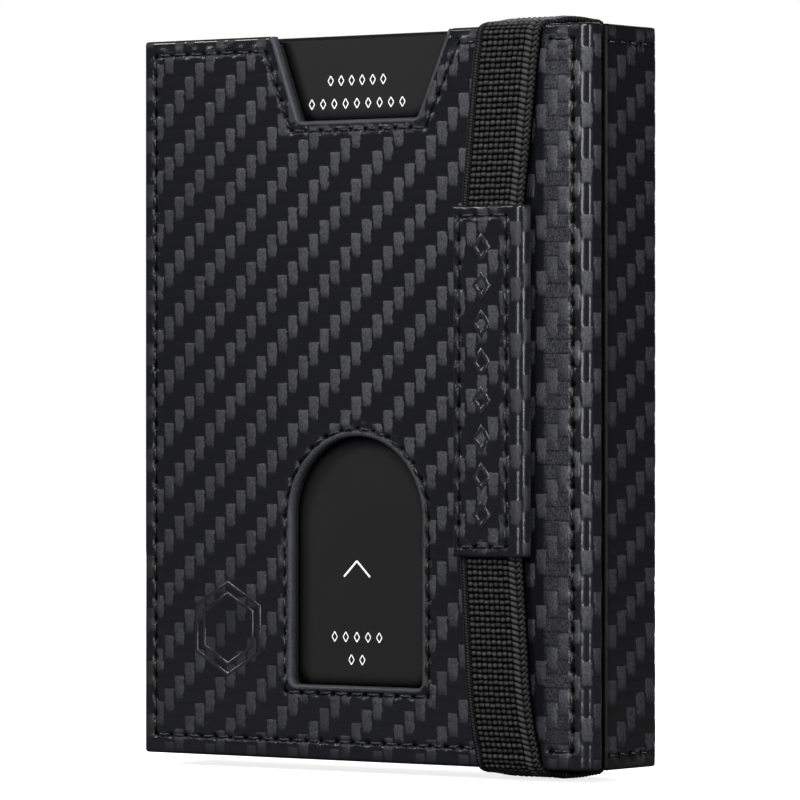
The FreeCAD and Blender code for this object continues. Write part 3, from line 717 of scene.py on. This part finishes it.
# much paler than the leather: painted light for the light on the window walls
PAINTED_LIT_EDGE = grained("painted_light_leather_edge", (0.03, 0.031, 0.035), (0.075, 0.077, 0.084), 0.45, 3.0, 0.04)
DARK_EDGE = grained("painted_leather_edge", (0.008, 0.008, 0.009), (0.02, 0.02, 0.022), 0.85, 3.0, 0.03, 0.1)
PRESSED = grained("pressed_leather", (0.008, 0.008, 0.009), (0.03, 0.03, 0.033), 0.16, 3.0, 0.05, 0.9)
# painted shade darkens the card next to the window walls, out to 2.2 mm
CARD = grained("matte_card", (0.012, 0.0112, 0.0118), (0.016, 0.015, 0.0157), 0.55, 9.0, 0.006, 0.3, painted_corner_shade=2.2)
# the print glows a little: painted light
PRINT = grained("pale_print", (0.86, 0.86, 0.86), (0.95, 0.95, 0.95), 0.6, 6.0, 0.004, glow=0.45)
BOARD = grained("fibre_board", (0.006, 0.006, 0.0065), (0.02, 0.02, 0.021), 0.85, 4.0, 0.05, 0.2)
FOIL = grained("shield_foil", (0.35, 0.35, 0.36), (0.6, 0.6, 0.61), 0.3, 1.2, 0.02, 0.5, 1.0, (1, 1, 4))
STUD = grained("blackened_stud", (0.05, 0.05, 0.054), (0.12, 0.12, 0.126), 0.24, 2.0, 0.006, 0.5, 1.0,
               (1, 6, 1))
LINING = woven("lining_cloth", (0.004, 0.004, 0.0045), (0.03, 0.03, 0.032), 0.5)


# ==== windows ====
def rounded_corner(a, b, radius):
    """Distance outside two half planes, given the distance outside each, with their corner rounded."""
    a, b = a + radius, b + radius
    return np.hypot(np.maximum(a, 0), np.maximum(b, 0)) + np.minimum(np.maximum(a, b), 0) - radius


def arch_gap(x, z):
    """Distance outside the arch window; negative inside it."""
    crown = np.hypot(x - ARCH_CENTRE, z - ARCH_SPRING) - ARCH_RADIUS
    foot = rounded_corner(np.abs(x - ARCH_CENTRE) - ARCH_RADIUS, ARCH_BOTTOM - z, ARCH_CORNER)
    return np.where(z > ARCH_SPRING, crown, foot)


def notch_ways():
    """Directions of the notch's left side, going down, and of its right side, going up."""
    corners = np.array(NOTCH)
    return unit(corners[1] - corners[0]), unit(corners[3] - corners[2])


def notch_gap(x, z):
    """Distance outside the notch; negative inside it."""
    (x0, z0), (_, floor), _, (x3, z3) = NOTCH
    left_way, right_way = notch_ways()
    left = (x - x0) * left_way[1] - (z - z0) * left_way[0]
    right = (x - x3) * right_way[1] - (z - z3) * right_way[0]
    return rounded_corner(np.maximum(left, right), floor - z, NOTCH_ROUNDING)


def window_gap(x, z):
    return np.minimum(arch_gap(x, z), notch_gap(x, z))


def arch_outline():
    left, right = ARCH_CENTRE - ARCH_RADIUS, ARCH_CENTRE + ARCH_RADIUS
    low, corner = ARCH_BOTTOM, ARCH_CORNER
    path = Path((left + corner, low)).line(right - corner, low)
    path.arc((right - corner, low + corner), corner, -90, 0).line(right, ARCH_SPRING)
    path.arc((ARCH_CENTRE, ARCH_SPRING), ARCH_RADIUS, 0, 180).line(left, low + corner)
    return path.arc((left + corner, low + corner), corner, 180, 270)


def notch_outline():
    start, (x1, floor), (x2, _), stop = NOTCH
    left_way, right_way = notch_ways()
    left_slope, right_slope = math.atan2(-left_way[1], left_way[0]), math.atan2(right_way[1], right_way[0])
    pull_left, pull_right = (NOTCH_ROUNDING * math.tan(slope / 2) for slope in (left_slope, right_slope))
    centre_z = floor + NOTCH_ROUNDING
    path = Path(start).line(*(np.array([x1, floor]) - left_way * pull_left))
    path.arc((x1 + pull_left, centre_z), NOTCH_ROUNDING, 270 - math.degrees(left_slope), 270)
    path.line(x2 - pull_right, floor)
    path.arc((x2 - pull_right, centre_z), NOTCH_ROUNDING, -90, -90 + math.degrees(right_slope))
    return path.line(*stop)


# distance out from the window's edge and depth behind the face, round the turned edge
LIP_PROFILE = ((LIP + 0.12, 0.06), (LIP, -0.005), (0.3, -0.03), (0.12, 0.02), (0.0, 0.16), (-0.06, 0.4),
               (-0.06, 1.05), (0.02, 1.14), (0.4, 1.16), (LIP + 0.12, 0.7))


def lip(name, outline, closed):
    """Turned leather edge round a window, paler than the leather as painted light: rolls over from the front
    face and runs down the wall.
    """
    at, normal = outline.sample(0.4)
    if closed:
        at, normal = at[:-1], normal[:-1]
    rings = []
    for offset, depth in LIP_PROFILE:
        x, z = (at + normal * offset).T
        z = np.minimum(z, HEIGHT - 0.03)
        over = np.clip(z - (HEIGHT - LEATHER_EDGE), 0, None)
        rounding = LEATHER_EDGE - np.sqrt(np.maximum(LEATHER_EDGE ** 2 - over ** 2, 0))
        rings.append(np.column_stack([x, FRONT + np.maximum(depth, rounding + min(depth, 0)), z]))
    points = np.stack(rings, 1).reshape(-1, 3)
    piece(name, points, tube_faces(len(at), len(LIP_PROFILE), closed), "front_cover", PAINTED_LIT_EDGE,
          "carbon_leather")


# ==== front cover ====
def hexagon_gap(x, z):
    """Distance outside the six-sided ornament."""
    dx, dz = np.abs(x - ORNAMENT[0]), np.abs(z - ORNAMENT[1])
    return np.maximum(dx, dx * 0.5 + dz * COS_30) - ORNAMENT_RADIUS * COS_30


def cover_path():
    """Round the cover from the spine's fold over the rolled edge to the turn-in behind it."""
    roll = WIDTH - EDGE_RADIUS
    inside = COVER_INSIDE - FOLD_RADIUS
    fold_angle = 50
    path = Path((0, 0), FOLD_RADIUS * (1 - math.radians(fold_angle)))
    path.arc((FOLD_RADIUS, FRONT + FOLD_RADIUS), FOLD_RADIUS, -90 - fold_angle, -90).line(roll, FRONT)
    path.arc((roll, FRONT + EDGE_RADIUS), EDGE_RADIUS, -90, 0).line(WIDTH, inside)
    path.arc((WIDTH - FOLD_RADIUS, inside), FOLD_RADIUS, 0, 90)
    return path.line(WIDTH - TURN_IN, COVER_INSIDE)


def cover_weave_and_painted_light(s, z, edge, window, hexagon, worn, strip):
    """Strength of the weave's colour: weak along edges, darker towards the left and the bottom as painted
    shade, and stronger on the crinkled strip as painted sheen.
    """
    plain = smooth(0.3, 2.6, edge) * smooth(0.4, 3.0, s) * smooth(0.3, 1.3, window)
    plain = plain * (0.3 + 0.7 * smooth(-0.2, 0.6, hexagon)) * (1 - 0.35 * worn)
    # painted light and shade: the floats are paler to the right and towards the top, darker to the left and
    # the bottom
    painted_light = smooth(0, 1, np.clip((s - 3) / 36, 0, 1) * (0.35 + 0.65 * smooth(0, 60, z)))
    return plain * (0.42 + 0.58 * painted_light) * (1 + 0.9 * strip)


def front_skin():
    runs = [run for node in COVER_SEAMS for run in flat_runs(node)]
    beside = (-0.35, 0, 0.35)
    seam_lines = [line + offset for line in (1.85, WIDTH - 2.6) for offset in beside]
    level_lines = [line + offset for line in (2.5, HEIGHT - 1.95) for offset in beside]

    def height(s, z):
        window, edge, hexagon = window_gap(s, z), to_end(z), hexagon_gap(s, z)
        fade = smooth(0.5, 1.6, window) * smooth(0.3, 1.3, edge) * smooth(0.6, 1.6, s)
        fade = fade * (0.35 + 0.65 * smooth(-0.2, 0.6, hexagon))
        pressed, shade, worn = press(s, z, runs)
        crease = 0.05 * np.sin(s * 2.1 + np.sin(z * 0.7)) * smooth(66.5, 68.0, s) * smooth(71.5, 70.0, s)
        sunk = 0.06 * (1 - smooth(0.0, 0.5, hexagon))
        strip = smooth(65.5, 66.5, s) * smooth(70.8, 70.2, s)
        raised = WEAVE_HEIGHT * fade * twill(s, z) - pressed - sunk + crease
        tone = cover_weave_and_painted_light(s, z, edge, window, hexagon, worn, strip)
        return raised, shade * (0.1 + 0.9 * smooth(0, 0.5, edge)), tone, np.maximum(worn, 0.35 * strip)

    skin("cover_leather", "front_leather", cover_path(), height, LEATHER, "front_cover", FRONT_LEATHER,
         hole=lambda s, z: window_gap(s, z) - LIP, extra_s=seam_lines, extra_z=level_lines)
    lip("arch_lip", arch_outline(), True)
    lip("notch_lip", notch_outline(), False)


def closed_ridge(corners, surface, width, height):
    """Low half-round ridge along a closed line of (x, z) corners on an upright surface at y."""
    corners = np.array(corners, float)
    profile = [(math.cos(a) * width / 2, math.sin(a) * height) for a in np.linspace(math.pi, 0, 7)]
    profile += [(width / 2, -0.15), (-width / 2, -0.15)]
    points = []
    for before, here, after in zip(np.roll(corners, 1, 0), corners, np.roll(corners, -1, 0)):
        way_in, way_out = unit(here - before), unit(after - here)
        bisector = unit(way_in + way_out)
        miter = np.array([bisector[1], -bisector[0]]) / (bisector @ way_in)
        for offset, lift in profile:
            x, z = here + miter * offset
            points.append((x, surface - lift, z))
    return points, tube_faces(len(corners), len(profile), ring=True)


def ornament():
    """Two pressed hexagons, one inside the other."""
    turns = np.radians(30 + 60 * np.arange(6))
    way = np.column_stack([np.cos(turns), np.sin(turns)])
    rings = [closed_ridge(ORNAMENT + radius * way, FRONT + 0.06, 0.5, 0.1) for radius in ORNAMENT_RINGS]
    points, faces = join(rings)
    piece("pressed_ornament", points, faces, "front_cover", PRESSED, "carbon_leather")


# ==== spine and tray ====
def spine_skin():
    inset = 0.02
    radius = FOLD_RADIUS - inset
    path = Path((FOLD_RADIUS, 0)).arc((FOLD_RADIUS, -FOLD_RADIUS), radius, 130, 180)
    path.line(inset, FRONT + FOLD_RADIUS).arc((FOLD_RADIUS, FRONT + FOLD_RADIUS), radius, 180, 230)

    def height(s, z):
        fade = smooth(0.3, 1.3, to_end(z)) * smooth(0.3, 1.4, s) * smooth(0.3, 1.4, path.end - s)
        return WEAVE_HEIGHT * fade * twill(s, z) - inset, np.ones_like(s), fade, 0 * s

    skin("spine_skin", "spine_leather", path, height, LEATHER - 2 * inset, "spine", FRONT_LEATHER)


def tray_skin():
    """Back sheet and side wall, from the lip beside the slit round the back corner to the spine's fold."""
    lip_radius = LEATHER / 2
    lip_base, corner_x = TRAY_FRONT + lip_radius, WIDTH - BACK_EDGE_RADIUS
    lip_turn = (WIDTH - lip_radius, lip_base), lip_radius, -150, 0
    path = Path((0, 0), -Path((0, 0)).arc(*lip_turn).end).arc(*lip_turn).line(WIDTH, -BACK_EDGE_RADIUS)
    path.arc((corner_x, -BACK_EDGE_RADIUS), BACK_EDGE_RADIUS, 0, 90)
    back_start = path.end
    path.line(FOLD_RADIUS, 0).arc((FOLD_RADIUS, -FOLD_RADIUS), FOLD_RADIUS, 90, 140)
    runs = [[(y - lip_base, z) for _, y, z in run] for run in stitch_runs("side_stitching", FACING_RIGHT)]
    back_runs = stitch_runs("back_stitching", FACING_BACK)
    runs += [[(back_start + corner_x - x, z) for x, _, z in run] for run in back_runs]
    seam_inset = 2.2

    def height(s, z):
        edge = to_end(z)
        fade = smooth(0.3, 1.3, edge) * smooth(-0.3, 0.6, s) * smooth(0.3, 1.4, path.end - s)
        x = corner_x - (s - back_start)
        groove = np.abs(np.minimum(np.minimum(x, WIDTH - x), edge) - seam_inset)
        on_back = smooth(back_start - 0.3, back_start, s)
        pressed, shade, worn = press(s, z, runs)
        shade = shade * (0.3 + 0.7 * smooth(-0.5, 0.7, s)) * (0.15 + 0.85 * smooth(0, 0.5, edge))
        seat = 0.18 * on_back * smooth(0.7, 0.3, groove)
        relief = twill(s, z, SIDE_PHASE, SIDE_COLUMN, SIDE_LEVEL_SHARE)
        relief = WEAVE_HEIGHT * (fade * (1 - on_back * smooth(0.9, 0.4, groove)) * relief - 0.6)
        return relief - pressed * (1 - 0.5 * on_back) - seat, shade, fade, worn * (1 - on_back)

    skin("tray_leather", "back_cover", path, height, LEATHER * 0.9, "back_unit", SHADED_SIDE_LEATHER,
         phase=SIDE_PHASE, column=SIDE_COLUMN)


# ==== coin flap ====
def flap_skin():
    """Embossed flap with two rounded corners at its free edge."""
    middle, half = (FLAP_HIGH[1] + FLAP_LOW[1]) / 2, (FLAP_HIGH[1] - FLAP_LOW[1]) / 2
    hinge = FLAP_LOW[0] + half
    right, low, high, corner = FLAP_HIGH[0], FLAP_LOW[2], FLAP_HIGH[2], 8.0
    row_count, column_count = 190, 150
    rows = np.linspace(low, high, row_count)
    off = np.maximum(np.maximum(low + corner - rows, rows - (high - corner)), 0)
    reach = right - corner + np.sqrt(np.maximum(corner ** 2 - off ** 2, 0))
    x = hinge + np.linspace(0, 1, column_count)[None, :] * (reach[:, None] - hinge)
    z = np.repeat(rows[:, None], column_count, 1)
    edge = np.minimum(np.minimum(z - low, high - z), right - x)
    rounded = smooth(0.0, 0.45, edge)
    pressed, shade, worn = press(x, z, flat_runs("flap_stitching"))
    fade = smooth(0.4, 1.4, edge)
    raised = THIN_WEAVE_HEIGHT * (fade * twill(x, z) - 1) - pressed
    front = middle - (half - 0.25 * (1 - rounded) + raised * rounded)
    back = middle + half - 0.25 * (1 - rounded)
    sides = [np.column_stack([x.ravel(), y.ravel(), z.ravel()]) for y in (front, back)]

    front_faces, count = grid_faces(row_count, column_count), x.size
    number = np.arange(count).reshape(x.shape)
    border = [*number[0], *number[1:, -1], *number[-1, -2::-1], *number[-2:0:-1, 0]]
    faces = front_faces.tolist() + (front_faces[:, ::-1] + count).tolist()
    faces += [[b, a, a + count, b + count] for a, b in zip(border, border[1:] + border[:1])]
    uv = np.concatenate([np.column_stack([x.ravel(), z.ravel()])] * 2)
    piece("coin_flap_skin", np.concatenate(sides), faces, "coin_flap", FRONT_LEATHER, "carbon_leather",
          ("coin_flap_leather",), uv, shade=[shade, np.ones_like(x)], weave=[fade, 0 * x], worn=[worn, 0 * x])


# ==== elastic band ====
def band_course(column):
    """One column of the stations as a smoothed function of height."""
    z = np.linspace(0, HEIGHT, 385)
    table = np.array(BAND_STATIONS)
    raw = np.interp(z, table[:, 0], table[:, column])
    padded = np.concatenate([2 * raw[0] - raw[12:0:-1], raw, 2 * raw[-1] - raw[-2:-14:-1]])
    smoothed = np.convolve(padded, np.ones(25) / 25, "valid")
    return lambda at: np.interp(at, z, smoothed)


def from_middle(value):
    """0 in the middle of the span from 0 to 1, and 1 at both its ends."""
    return np.abs(value - 0.5) * 2


def band_relief(x, u):
    """Height over the base of the elastic at x across and u along it, 0 in the gaps and 1 on the crowns."""
    row = u / BEAD_PITCH
    body = (x - KNIT_EDGE) / (BAND_WIDTH - KNIT_EDGE - BRAID_EDGE)
    column = np.clip(body, 0, 1) * BEAD_COLUMNS
    column_number, row_number = np.floor(column), np.floor(row)
    across = from_middle(column - column_number)
    jitter = 0.06 * np.sin(column_number * 2.3 + row_number * 1.7)
    along = from_middle((row + jitter) % 1)
    along = np.clip(along * 1.12 + 0.25 * (across - 0.5) * np.where(row % 2 < 1, 1, -1), 0, 1)
    beads = np.clip(1 - 0.8 * across ** 2.4, 0, 1) * np.clip(1 - along ** 2, 0, 1)
    beads = beads * (0.84 + 0.16 * np.sin(column_number * 12.9 + row_number * 78.2))
    knit_row = (row * 2 + x / KNIT_EDGE * 0.8) % 1
    knit = (1 - from_middle(knit_row) ** 2) * (0.65 + 0.35 * np.cos(x / KNIT_EDGE * 4 * math.pi))
    over = x - (BAND_WIDTH - BRAID_EDGE)
    split = BRAID_EDGE * 0.6
    slant = np.where(over < split, over * 0.3, (split - over) * 0.55 + 0.5)
    side = from_middle(np.where(over < split, over / split, (over - split) / (BRAID_EDGE - split)))
    braid = np.clip(1 - (from_middle((row + slant / BEAD_PITCH) % 1) * 1.05) ** 2.4, 0, 1)
    braid = braid * np.clip(1 - side ** 3, 0, 1) ** 0.7 * np.where(over < split, 1.0, 0.75)
    return np.where(body < 0, knit * 0.85, np.where(body > 1, braid, beads))


def band_line():
    """Course of the band round the wallet, from tail to tail, as (distance from the back face, z)."""
    back, face = LEATHER + BAND + BACK_BEND, -FRONT + BAND_ROOM - FRONT_BEND
    bend_back, bend_front, lift = BACK_BEND + BAND, FRONT_BEND + BAND, BAND_ROOM + BAND
    low_z, high_z = FRONT_BEND - BAND_ROOM, HEIGHT - FRONT_BEND + BAND_ROOM
    front_z = np.linspace(low_z, high_z, 900)
    ends = smooth(0, 3, np.minimum(front_z - low_z, high_z - front_z))
    front = np.column_stack([face + bend_front + band_course(1)(front_z) * BAND_BOW * ends, front_z])
    turn = np.radians(np.linspace(0, 90, 30))
    over_y = np.linspace(back, face, 200)
    from_front = face - over_y
    arch = BAND_CROWN * smooth(1.5, 6.5, from_front) * smooth(0, 4, face - back - from_front)
    arch = arch - SHOULDER_DROP * (1 - smooth(-1.0, 5.5, from_front))
    crown = lift + arch[-1]
    drop = bend_front + arch[-1]
    tail_end = 0.7

    def half_loop(end_z, sign):
        """From the hidden tail round to the front face, drawn for one end of the wallet."""
        tail_z = np.linspace(end_z - sign * BAND_TAIL, end_z - sign * tail_end, 12)
        rear_z = end_z - sign * tail_end + sign * bend_back * np.sin(turn)
        fore_z = end_z + sign * (crown - drop + drop * np.cos(turn))
        return np.concatenate([
            np.column_stack([np.full(12, LEATHER), tail_z])[:-1],
            np.column_stack([back - bend_back * np.cos(turn), rear_z]),
            np.column_stack([over_y, end_z + sign * (lift + arch)])[1:-1],
            np.column_stack([face + bend_front * np.sin(turn), fore_z])[:-1]])

    return np.concatenate([half_loop(0, -1), front, half_loop(HEIGHT, 1)[::-1]])


# place across from the edge, its swing with the rows, depth below the crowns, shade, its swing with the rows
LEFT_RIM = ((0.15, 0, 1.25, 0, 0), (0.02, 0.05, 1.0, 0.3, 0.5), (0.02, 0.05, 0.4, 0.3, 0.5),
            (0.09, 0, 0.2, 0.3, 0.5))
RIGHT_RIM = ((-0.03, -0.1, 0.22, 0.15, 0.6), (0, -0.12, 0.42, 0.15, 0.6), (-0.05, -0.05, 1.0, 0, 0),
             (-0.15, 0, 1.25, 0, 0))


def band_sections(u):
    """Points round the band at every row u: (place across, depth, shade), each a grid."""
    bead = (BAND_WIDTH - KNIT_EDGE - BRAID_EDGE) / BEAD_COLUMNS
    across = [KNIT_EDGE + bead * (k + part) for k in range(BEAD_COLUMNS) for part in BEAD_LINES]
    across += list(np.linspace(0.2, KNIT_EDGE, 6, endpoint=False))
    across += list(np.linspace(BAND_WIDTH - BRAID_EDGE, BAND_WIDTH - 0.12, 13))
    across = np.array(sorted(across))
    level = band_relief(across[None, :], u[:, None])
    rim = 0.5 + 0.5 * np.cos(u / BEAD_PITCH * 2 * math.pi)
    left, right = ([(start + x + swing * rim, depth + 0 * rim, shade + shade_swing * rim)
                    for x, swing, depth, shade, shade_swing in rows]
                   for start, rows in ((0, LEFT_RIM), (BAND_WIDTH, RIGHT_RIM)))
    middle = [(x + 0 * u, BEAD_DEPTH * (1 - shade), shade) for x, shade in zip(across, level.T)]
    return [np.stack(part, 1) for part in zip(*left, *middle, *right)]


def band():
    line = band_line()
    size = np.concatenate([[0], np.cumsum(np.linalg.norm(np.diff(line, axis=0), axis=1))])
    hidden = BAND_TAIL - 3
    fine = spaced_lines(hidden, size[-1] - hidden, 0, BEAD_PITCH, parts=BEAD_LINES)
    u = np.concatenate([[0], fine, [size[-1]]])
    at, ahead, behind = (np.column_stack([np.interp(u + step, size, line[:, k]) for k in (0, 1)])
                         for step in (0, 0.15, -0.15))
    way = (ahead - behind) / np.linalg.norm(ahead - behind, axis=1)[:, None]
    normal = np.column_stack([way[:, 1], -way[:, 0]])
    on_front = smooth(-FRONT - 4, -FRONT, at[:, 0])
    shift, narrow = (band_course(column)(at[:, 1])[:, None] * on_front[:, None] for column in (2, 3))
    x, depth, shade = band_sections(u)
    x = BAND_LEFT + shift + narrow / 2 + x / BAND_WIDTH * (BAND_WIDTH - narrow)
    flat = at[:, None, :] - normal[:, None, :] * depth[..., None]
    points = np.stack([x, -flat[..., 0], flat[..., 1]], -1).reshape(-1, 3)
    rows, count = x.shape
    faces = grid_faces(rows, count, closed=True).tolist()
    faces += [list(range(count)), [(rows - 1) * count + k for k in range(count)][::-1]]
    made = piece("elastic_loop", points, faces, None, ELASTIC, "elastic", shade=shade)
    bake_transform(made)
    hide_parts("elastic_band")


# ==== pull tab ====
def tab_skin():
    outer, inner = TAB_LOW[1], TAB_HIGH[1]
    low, high = TAB_LOW[2], TAB_HIGH[2]
    radius = (inner - outer) / 2
    fold_x = TAB_HIGH[0] - radius
    path = Path((TAB_LOW[0], outer)).line(fold_x, outer)
    path.arc((fold_x, (inner + outer) / 2), radius, -90, 90).line(TAB_LOW[0], inner)
    runs = [[(x - TAB_LOW[0], z) for x, z in run] for run in flat_runs("tab_stitching")]
    thickness, crumpled = 0.75, 0.12

    def height(s, z):
        from_ends = np.minimum(s, path.end - s)
        edge = np.minimum(np.minimum(z - low, high - z), from_ends)
        pressed, shade, worn = press(s, z, runs)
        relief = THIN_WEAVE_HEIGHT * smooth(0.2, 1.0, edge) * twill(s, z, TAB_PHASE)
        plain = smooth(8.4, 9.4, s) * smooth(13.2, 12.2, s)
        weave = 0.78 * smooth(0.1, 1.2, edge) * (1 - 0.6 * worn) * (1 - 0.55 * plain)
        end = 0.3 * (1 - smooth(0.0, 0.4, from_ends))
        return relief - 0.04 - pressed - end, shade, weave, np.maximum(worn, crumpled)

    skin("pull_tab_skin", "pull_tab", path, height, thickness, "closure_band", TAB_LEATHER,
         lows=(low, high), phase=TAB_PHASE)


def diamond(x, z, wide, tall):
    """Corners of a lozenge, given half its width and half its height."""
    return [(x - wide, z), (x, z + tall), (x + wide, z), (x, z - tall)]


def tab_pattern():
    """A column of plain pressed lozenges."""
    centre = (TAB_LOW[0] + 0.9 + TAB_HIGH[0] - 2.8) / 2
    margin = 5.4
    shapes = [closed_ridge(diamond(centre, z, 1.1, 1.45)[::-1], TAB_LOW[1] + 0.03, 0.62, 0.17)
              for z in np.linspace(TAB_LOW[2] + margin, TAB_HIGH[2] - margin, 8)]
    points, faces = join(shapes)
    piece("pressed_lozenges", points, faces, "closure_band", PRESSED, "carbon_leather")


# ==== card ====
def rounded_plate(low, high, corner, bevel):
    """Closed upright plate with round corners and bevelled edges, as (points, faces)."""
    (x0, y0, z0), (x1, y1, z1) = low, high
    steps = np.radians(np.linspace(0, 90, 9))
    turns = [(x1 - corner, z1 - corner, 0), (x0 + corner, z1 - corner, 90),
             (x0 + corner, z0 + corner, 180), (x1 - corner, z0 + corner, 270)]
    points = []
    for inset, y in ((bevel, y0), (0, y0 + bevel), (0, y1 - bevel), (bevel, y1)):
        for x, z, start in turns:
            radius, angles = corner - inset, steps + math.radians(start)
            points += [(x + radius * math.cos(a), y, z + radius * math.sin(a)) for a in angles]
    return points, tube_faces(4, len(turns) * len(steps))


def stroke(a, b, width, y=CARD_LOW[1]):
    """Flat bar with bevelled edges from a to b, both (x, z), on an upright face at y."""
    a, b = np.array(a, float), np.array(b, float)
    way = unit(b - a)
    side = np.array([-way[1], way[0]])
    points = []
    for grow, level in ((0.0, 0.02), (-0.02, -PRINT_RISE)):
        half = side * (width / 2 + grow)
        start, stop = a - way * grow, b + way * grow
        points += [(x, y + level, z) for x, z in (start + half, stop + half, stop - half, start - half)]
    faces = [[0, 1, 5, 4], [1, 2, 6, 5], [2, 3, 7, 6], [3, 0, 4, 7], [4, 5, 6, 7], [3, 2, 1, 0]]
    return points, faces


def card():
    """Plain card printed with a chevron and rows of small open lozenges."""
    points, faces = rounded_plate(CARD_LOW, CARD_HIGH, CARD_CORNER, CARD_BEVEL)
    plate = piece("insert_card_body", points, faces, "insert_card", CARD, "card", ("insert_card",))
    tip, foot, spread = 26.35, 24.25, 2.15
    chevron = (PRINT_CENTRE - spread, foot), (PRINT_CENTRE, tip), (PRINT_CENTRE + spread, foot)
    marks = [stroke(a, b, 0.3) for a, b in zip(chevron, chevron[1:])]
    for z, count, half in PRINT_ROWS:
        for k in range(count):
            corners = diamond(PRINT_CENTRE - half + 2 * half * (k + 0.5) / count, z, 0.44, 0.66)
            marks += [stroke(a, b, 0.17) for a, b in zip(corners, corners[1:] + corners[:1])]
    points, faces = join(marks)
    for made in (plate, piece("card_print", points, faces, "insert_card", PRINT, "card")):
        made.data.shade_flat()


# ==== carried-over CAD nodes ====
DRESSED = (
    (BOARD, ("front_board", "pocket_spacer", "back_board", "card_bay_frame", "side_board")),
    (LINING, ("pocket_back_sheet", "cover_lining", "spine_lining", "back_lining", "note_divider",
              "bay_divider")),
    (DARK_EDGE, ("coin_frame", "flap_strip", "bottom_edge_strip", "top_edge_strip")),
    (FOIL, ("cover_rfid_foil", "back_rfid_foil")),
    (STUD, ("stud_cap", "stud_socket", "stud_post")))


def dress_frame():
    for material, names in DRESSED:
        for name in names:
            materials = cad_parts[name].data.materials
            materials.clear()
            materials.append(material)


# ==== studio ====
# name, azimuth from straight in front towards the opening edge, elevation, distance in metres, size, watts
LIGHTS = (("key_strip", 13.5, 4, 0.8, (0.14, 0.8), 3.4),
          ("side_strip", 75.5, 4, 0.8, (0.1, 0.8), 3.5),
          ("left_soft", -48, 30, 0.8, (0.16, 0.16), 1.7),
          ("near_soft", 34, 36, 0.3, (0.08, 0.08), 0.3),
          ("top_soft", 30, 75, 0.9, (0.7, 0.7), 0.9),
          ("back_soft", 215, 25, 1.0, (0.5, 0.8), 12.0))
WORLD_GLOW = (0.06, 0.06, 0.066)
CAMERA_PLACE, CAMERA_WAY = (0.4628, -0.6322, 0.0), (-0.595, 0.804, 0)
FLOOR_REACH, FLOOR_ROOM = 3.0, 0.0002    # metres


def aim(made, place, away):
    """Put a light or a camera at a place, looking against the direction away."""
    made.location = place
    made.rotation_mode = "QUATERNION"
    made.rotation_quaternion = away.to_track_quat("Z", "Y")


def lights():
    for name, azimuth, elevation, distance, size, power in LIGHTS:
        data = bpy.data.lights.new(name, "AREA")
        data.shape = "RECTANGLE"
        data.size, data.size_y = size
        data.energy = power
        a, e = math.radians(azimuth), math.radians(elevation)
        away = Vector((math.sin(a) * math.cos(e), -math.cos(a) * math.cos(e), math.sin(e)))
        aim(in_scene(name, data), away * distance, away)


def white_world():
    """White to the camera and dim to everything else."""
    world = bpy.data.worlds.new("studio")
    world.use_nodes = True
    tree = world.node_tree
    seen = Field(tree, add_node(tree, "LightPath").outputs["Is Camera Ray"])
    feed(tree, tree.nodes["Background"].inputs["Color"], seen.colours(WORLD_GLOW, (1, 1, 1)))
    bpy.context.scene.world = world


def floor():
    """White floor that reflects little light back onto the wallet."""
    look = Finish("pale_floor", 0.9, 0.1)
    x, y, z = look.place()
    seen = look.camera_ray()
    pale = look.noise((x, y, z), scale=0.02).colours((0.78, 0.78, 0.78), (0.82, 0.82, 0.82))
    look.set("Base Color", seen.colours((0.12, 0.12, 0.12), pale))
    look.set("Emission Color", (1, 1, 1, 1))
    look.set("Emission Strength", seen * (x * x + y * y).op("SQRT").ramp(60.0, 500.0, 0.8, 1.05))
    floor_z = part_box("elastic_band")[0].z - FLOOR_ROOM
    corners = [(x, y, floor_z) for x, y in FLOOR_REACH * np.array(((-1, -1), (1, -1), (1, 1), (-1, 1)))]
    mesh = bpy.data.meshes.new("floor")
    mesh.from_pydata(corners, [], [[0, 1, 2, 3]])
    mesh.materials.append(look.material)
    in_scene("floor", mesh)


def camera():
    data = bpy.data.cameras.new("camera")
    data.lens, data.sensor_width = 263.7, 36
    data.shift_y = -0.00375
    data.clip_end = 20
    made = in_scene("camera", data)
    aim(made, CAMERA_PLACE, -Vector(CAMERA_WAY))
    bpy.context.scene.camera = made


def main():
    front_skin()
    ornament()
    spine_skin()
    tray_skin()
    flap_skin()
    band()
    tab_skin()
    tab_pattern()
    card()
    for node in COVER_SEAMS:
        seam(node.replace("stitching", "thread"), node, "front_cover", FACING_FRONT)
    seam("side_thread", "side_stitching", "back_unit", FACING_RIGHT)
    seam("back_thread", "back_stitching", "back_unit", FACING_BACK, lift=-0.1, thick=0.2)
    seam("flap_thread", "flap_stitching", "coin_flap", FACING_FRONT)
    seam("tab_thread", "tab_stitching", "closure_band", FACING_FRONT)
    dress_frame()
    lights()
    white_world()
    floor()
    camera()
    bpy.context.scene.view_settings.view_transform = "Standard"


main()
